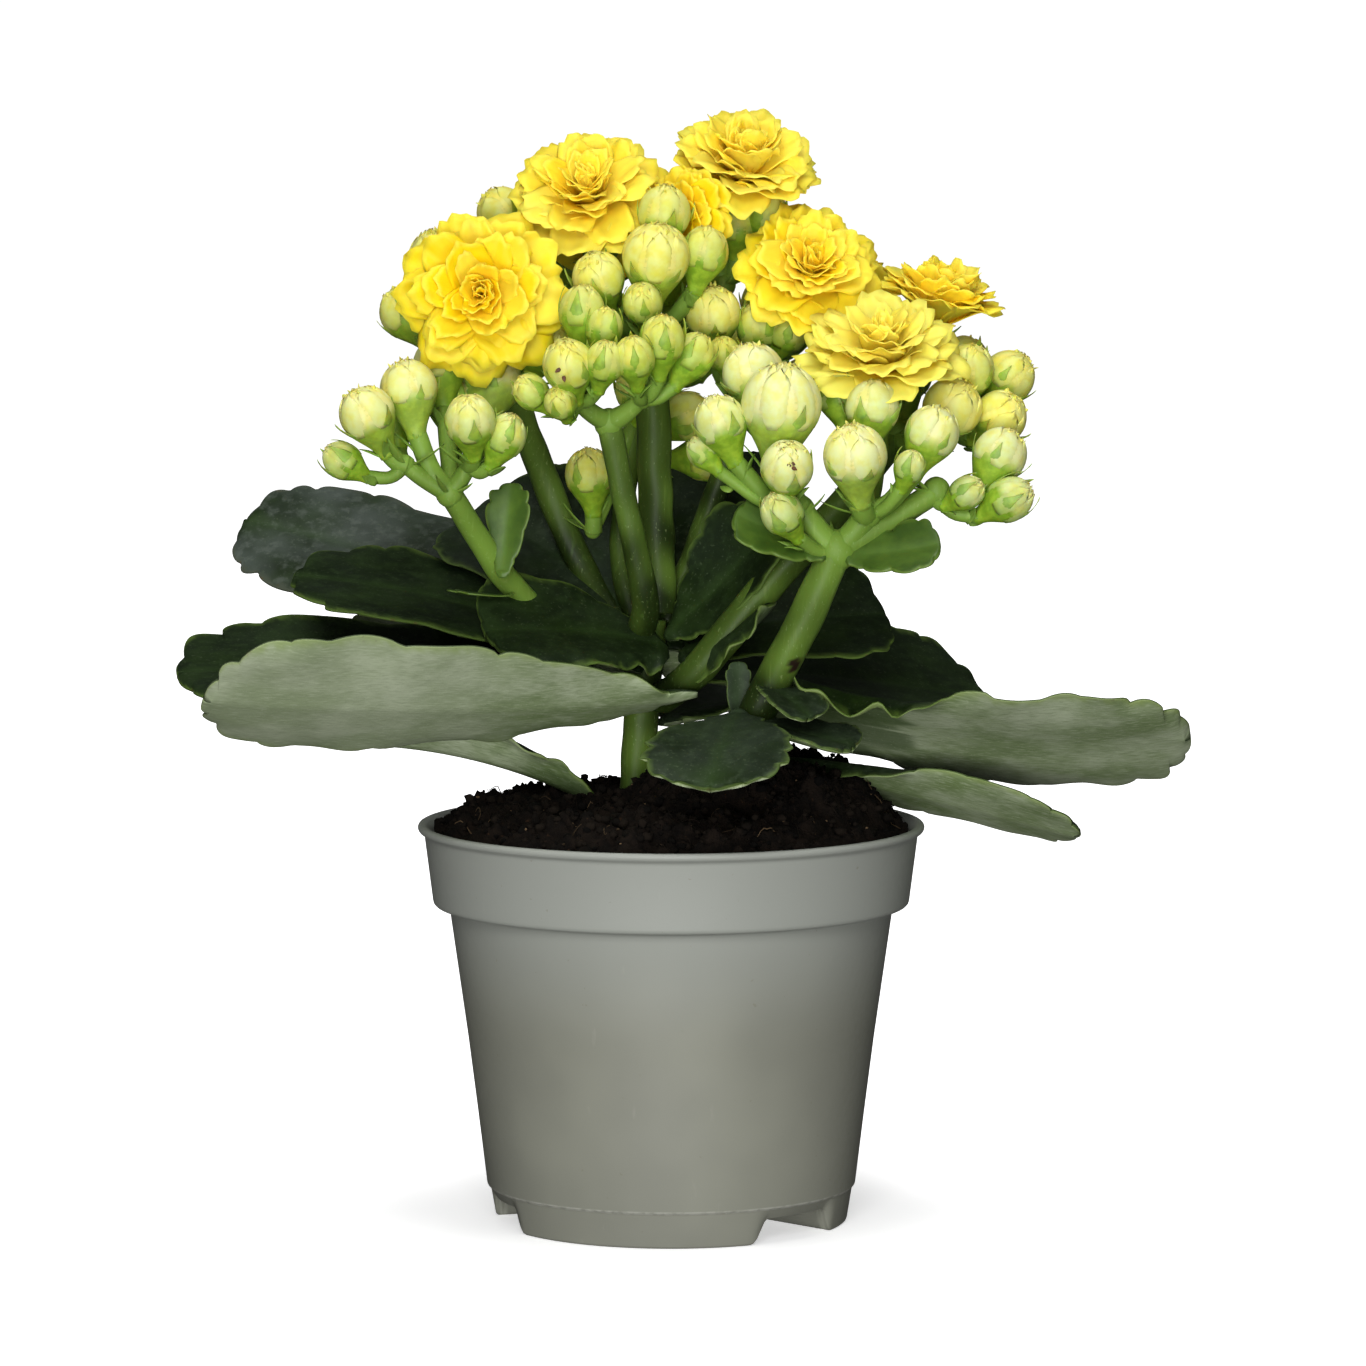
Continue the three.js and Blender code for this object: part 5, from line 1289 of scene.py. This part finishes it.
def make_stage():
    """A pale floor that turns plain white away from the pot, and a white dome that lights nothing."""
    f = Finish("floor_white", Roughness=0.9, Base_Color=(0.86, 0.86, 0.86, 1), Emission_Color=(1, 1, 1, 1))
    reach = f.node("ShaderNodeVectorMath", operation="LENGTH")
    f.feed(reach.inputs[0], f.place)
    glow = f.step(reach.outputs["Value"], 0.03, 0.09, FLOOR_GLOW, WHITE_GLOW)
    f.feed(f.shader.inputs["Emission Strength"], glow)
    spread = [0.5, 60, 120, 200, 300, 450, 700, 1200, 2500]
    floor = stage_mesh("floor", ring_grid(np.array([(r, 0.0) for r in spread]), 64) * MM, f)
    f = Finish("dome_white", Roughness=1.0, Specular_IOR_Level=0, Base_Color=(0, 0, 0, 1),
               Emission_Color=(1, 1, 1, 1), Emission_Strength=WHITE_GLOW)
    dome = stage_mesh("dome", DOME_RADIUS * ball(25, 48), f)
    dome.visible_transmission = False


def area_light(name, place, target, size, power, glossy=True):
    """A soft rectangle of light. Without `glossy` it leaves no highlight."""
    light = bpy.data.lights.new(name, "AREA")
    light.shape = "RECTANGLE"
    light.size, light.size_y = size
    light.energy = power
    lamp = link(name, light)
    lamp.location = place
    aim = np.array(target) - np.array(place)
    lamp.rotation_euler = Vector(aim).to_track_quat("-Z", "Y").to_euler()
    lamp.visible_camera = False
    lamp.visible_glossy = glossy


def make_light():
    """Soft studio light, most of it from the front."""
    world = bpy.data.worlds.new("studio")
    world.use_nodes = True
    world.node_tree.nodes["Background"].inputs["Color"].default_value = (1, 1, 1, 1)
    world.node_tree.nodes["Background"].inputs["Strength"].default_value = 0.05
    bpy.context.scene.world = world
    area_light("key", (-0.12, -1.5, 0.8), (0, 0, 0.1), (0.6, 0.6), 12)
    area_light("front", (-0.05, -1.3, -0.06), (0, 0, 0.12), (1.2, 0.6), 13.5)
    area_light("top", (0.0, -0.2, 1.5), (0, 0, 0.1), (0.9, 0.9), 11)
    area_light("back", (0.1, 1.3, 0.75), (0, 0, 0.12), (1.4, 0.7), 4.5, glossy=False)


def make_camera():
    """The camera where the photo was taken from."""
    data = bpy.data.cameras.new("camera")
    data.lens = LENS
    data.sensor_width = SENSOR
    data.clip_end = 20
    camera = link("camera", data)
    camera.location = [c * MM for c in CAMERA_AT]
    camera.rotation_euler = (math.radians(90 - CAMERA_DOWN), 0, 0)
    bpy.context.scene.camera = camera


make_camera()
make_stage()
make_light()
make_pot()
make_soil()
make_crumbs()
make_stems()
make_leaves()
make_cymes()
make_blooms()
bpy.context.scene.view_settings.view_transform = "Standard"
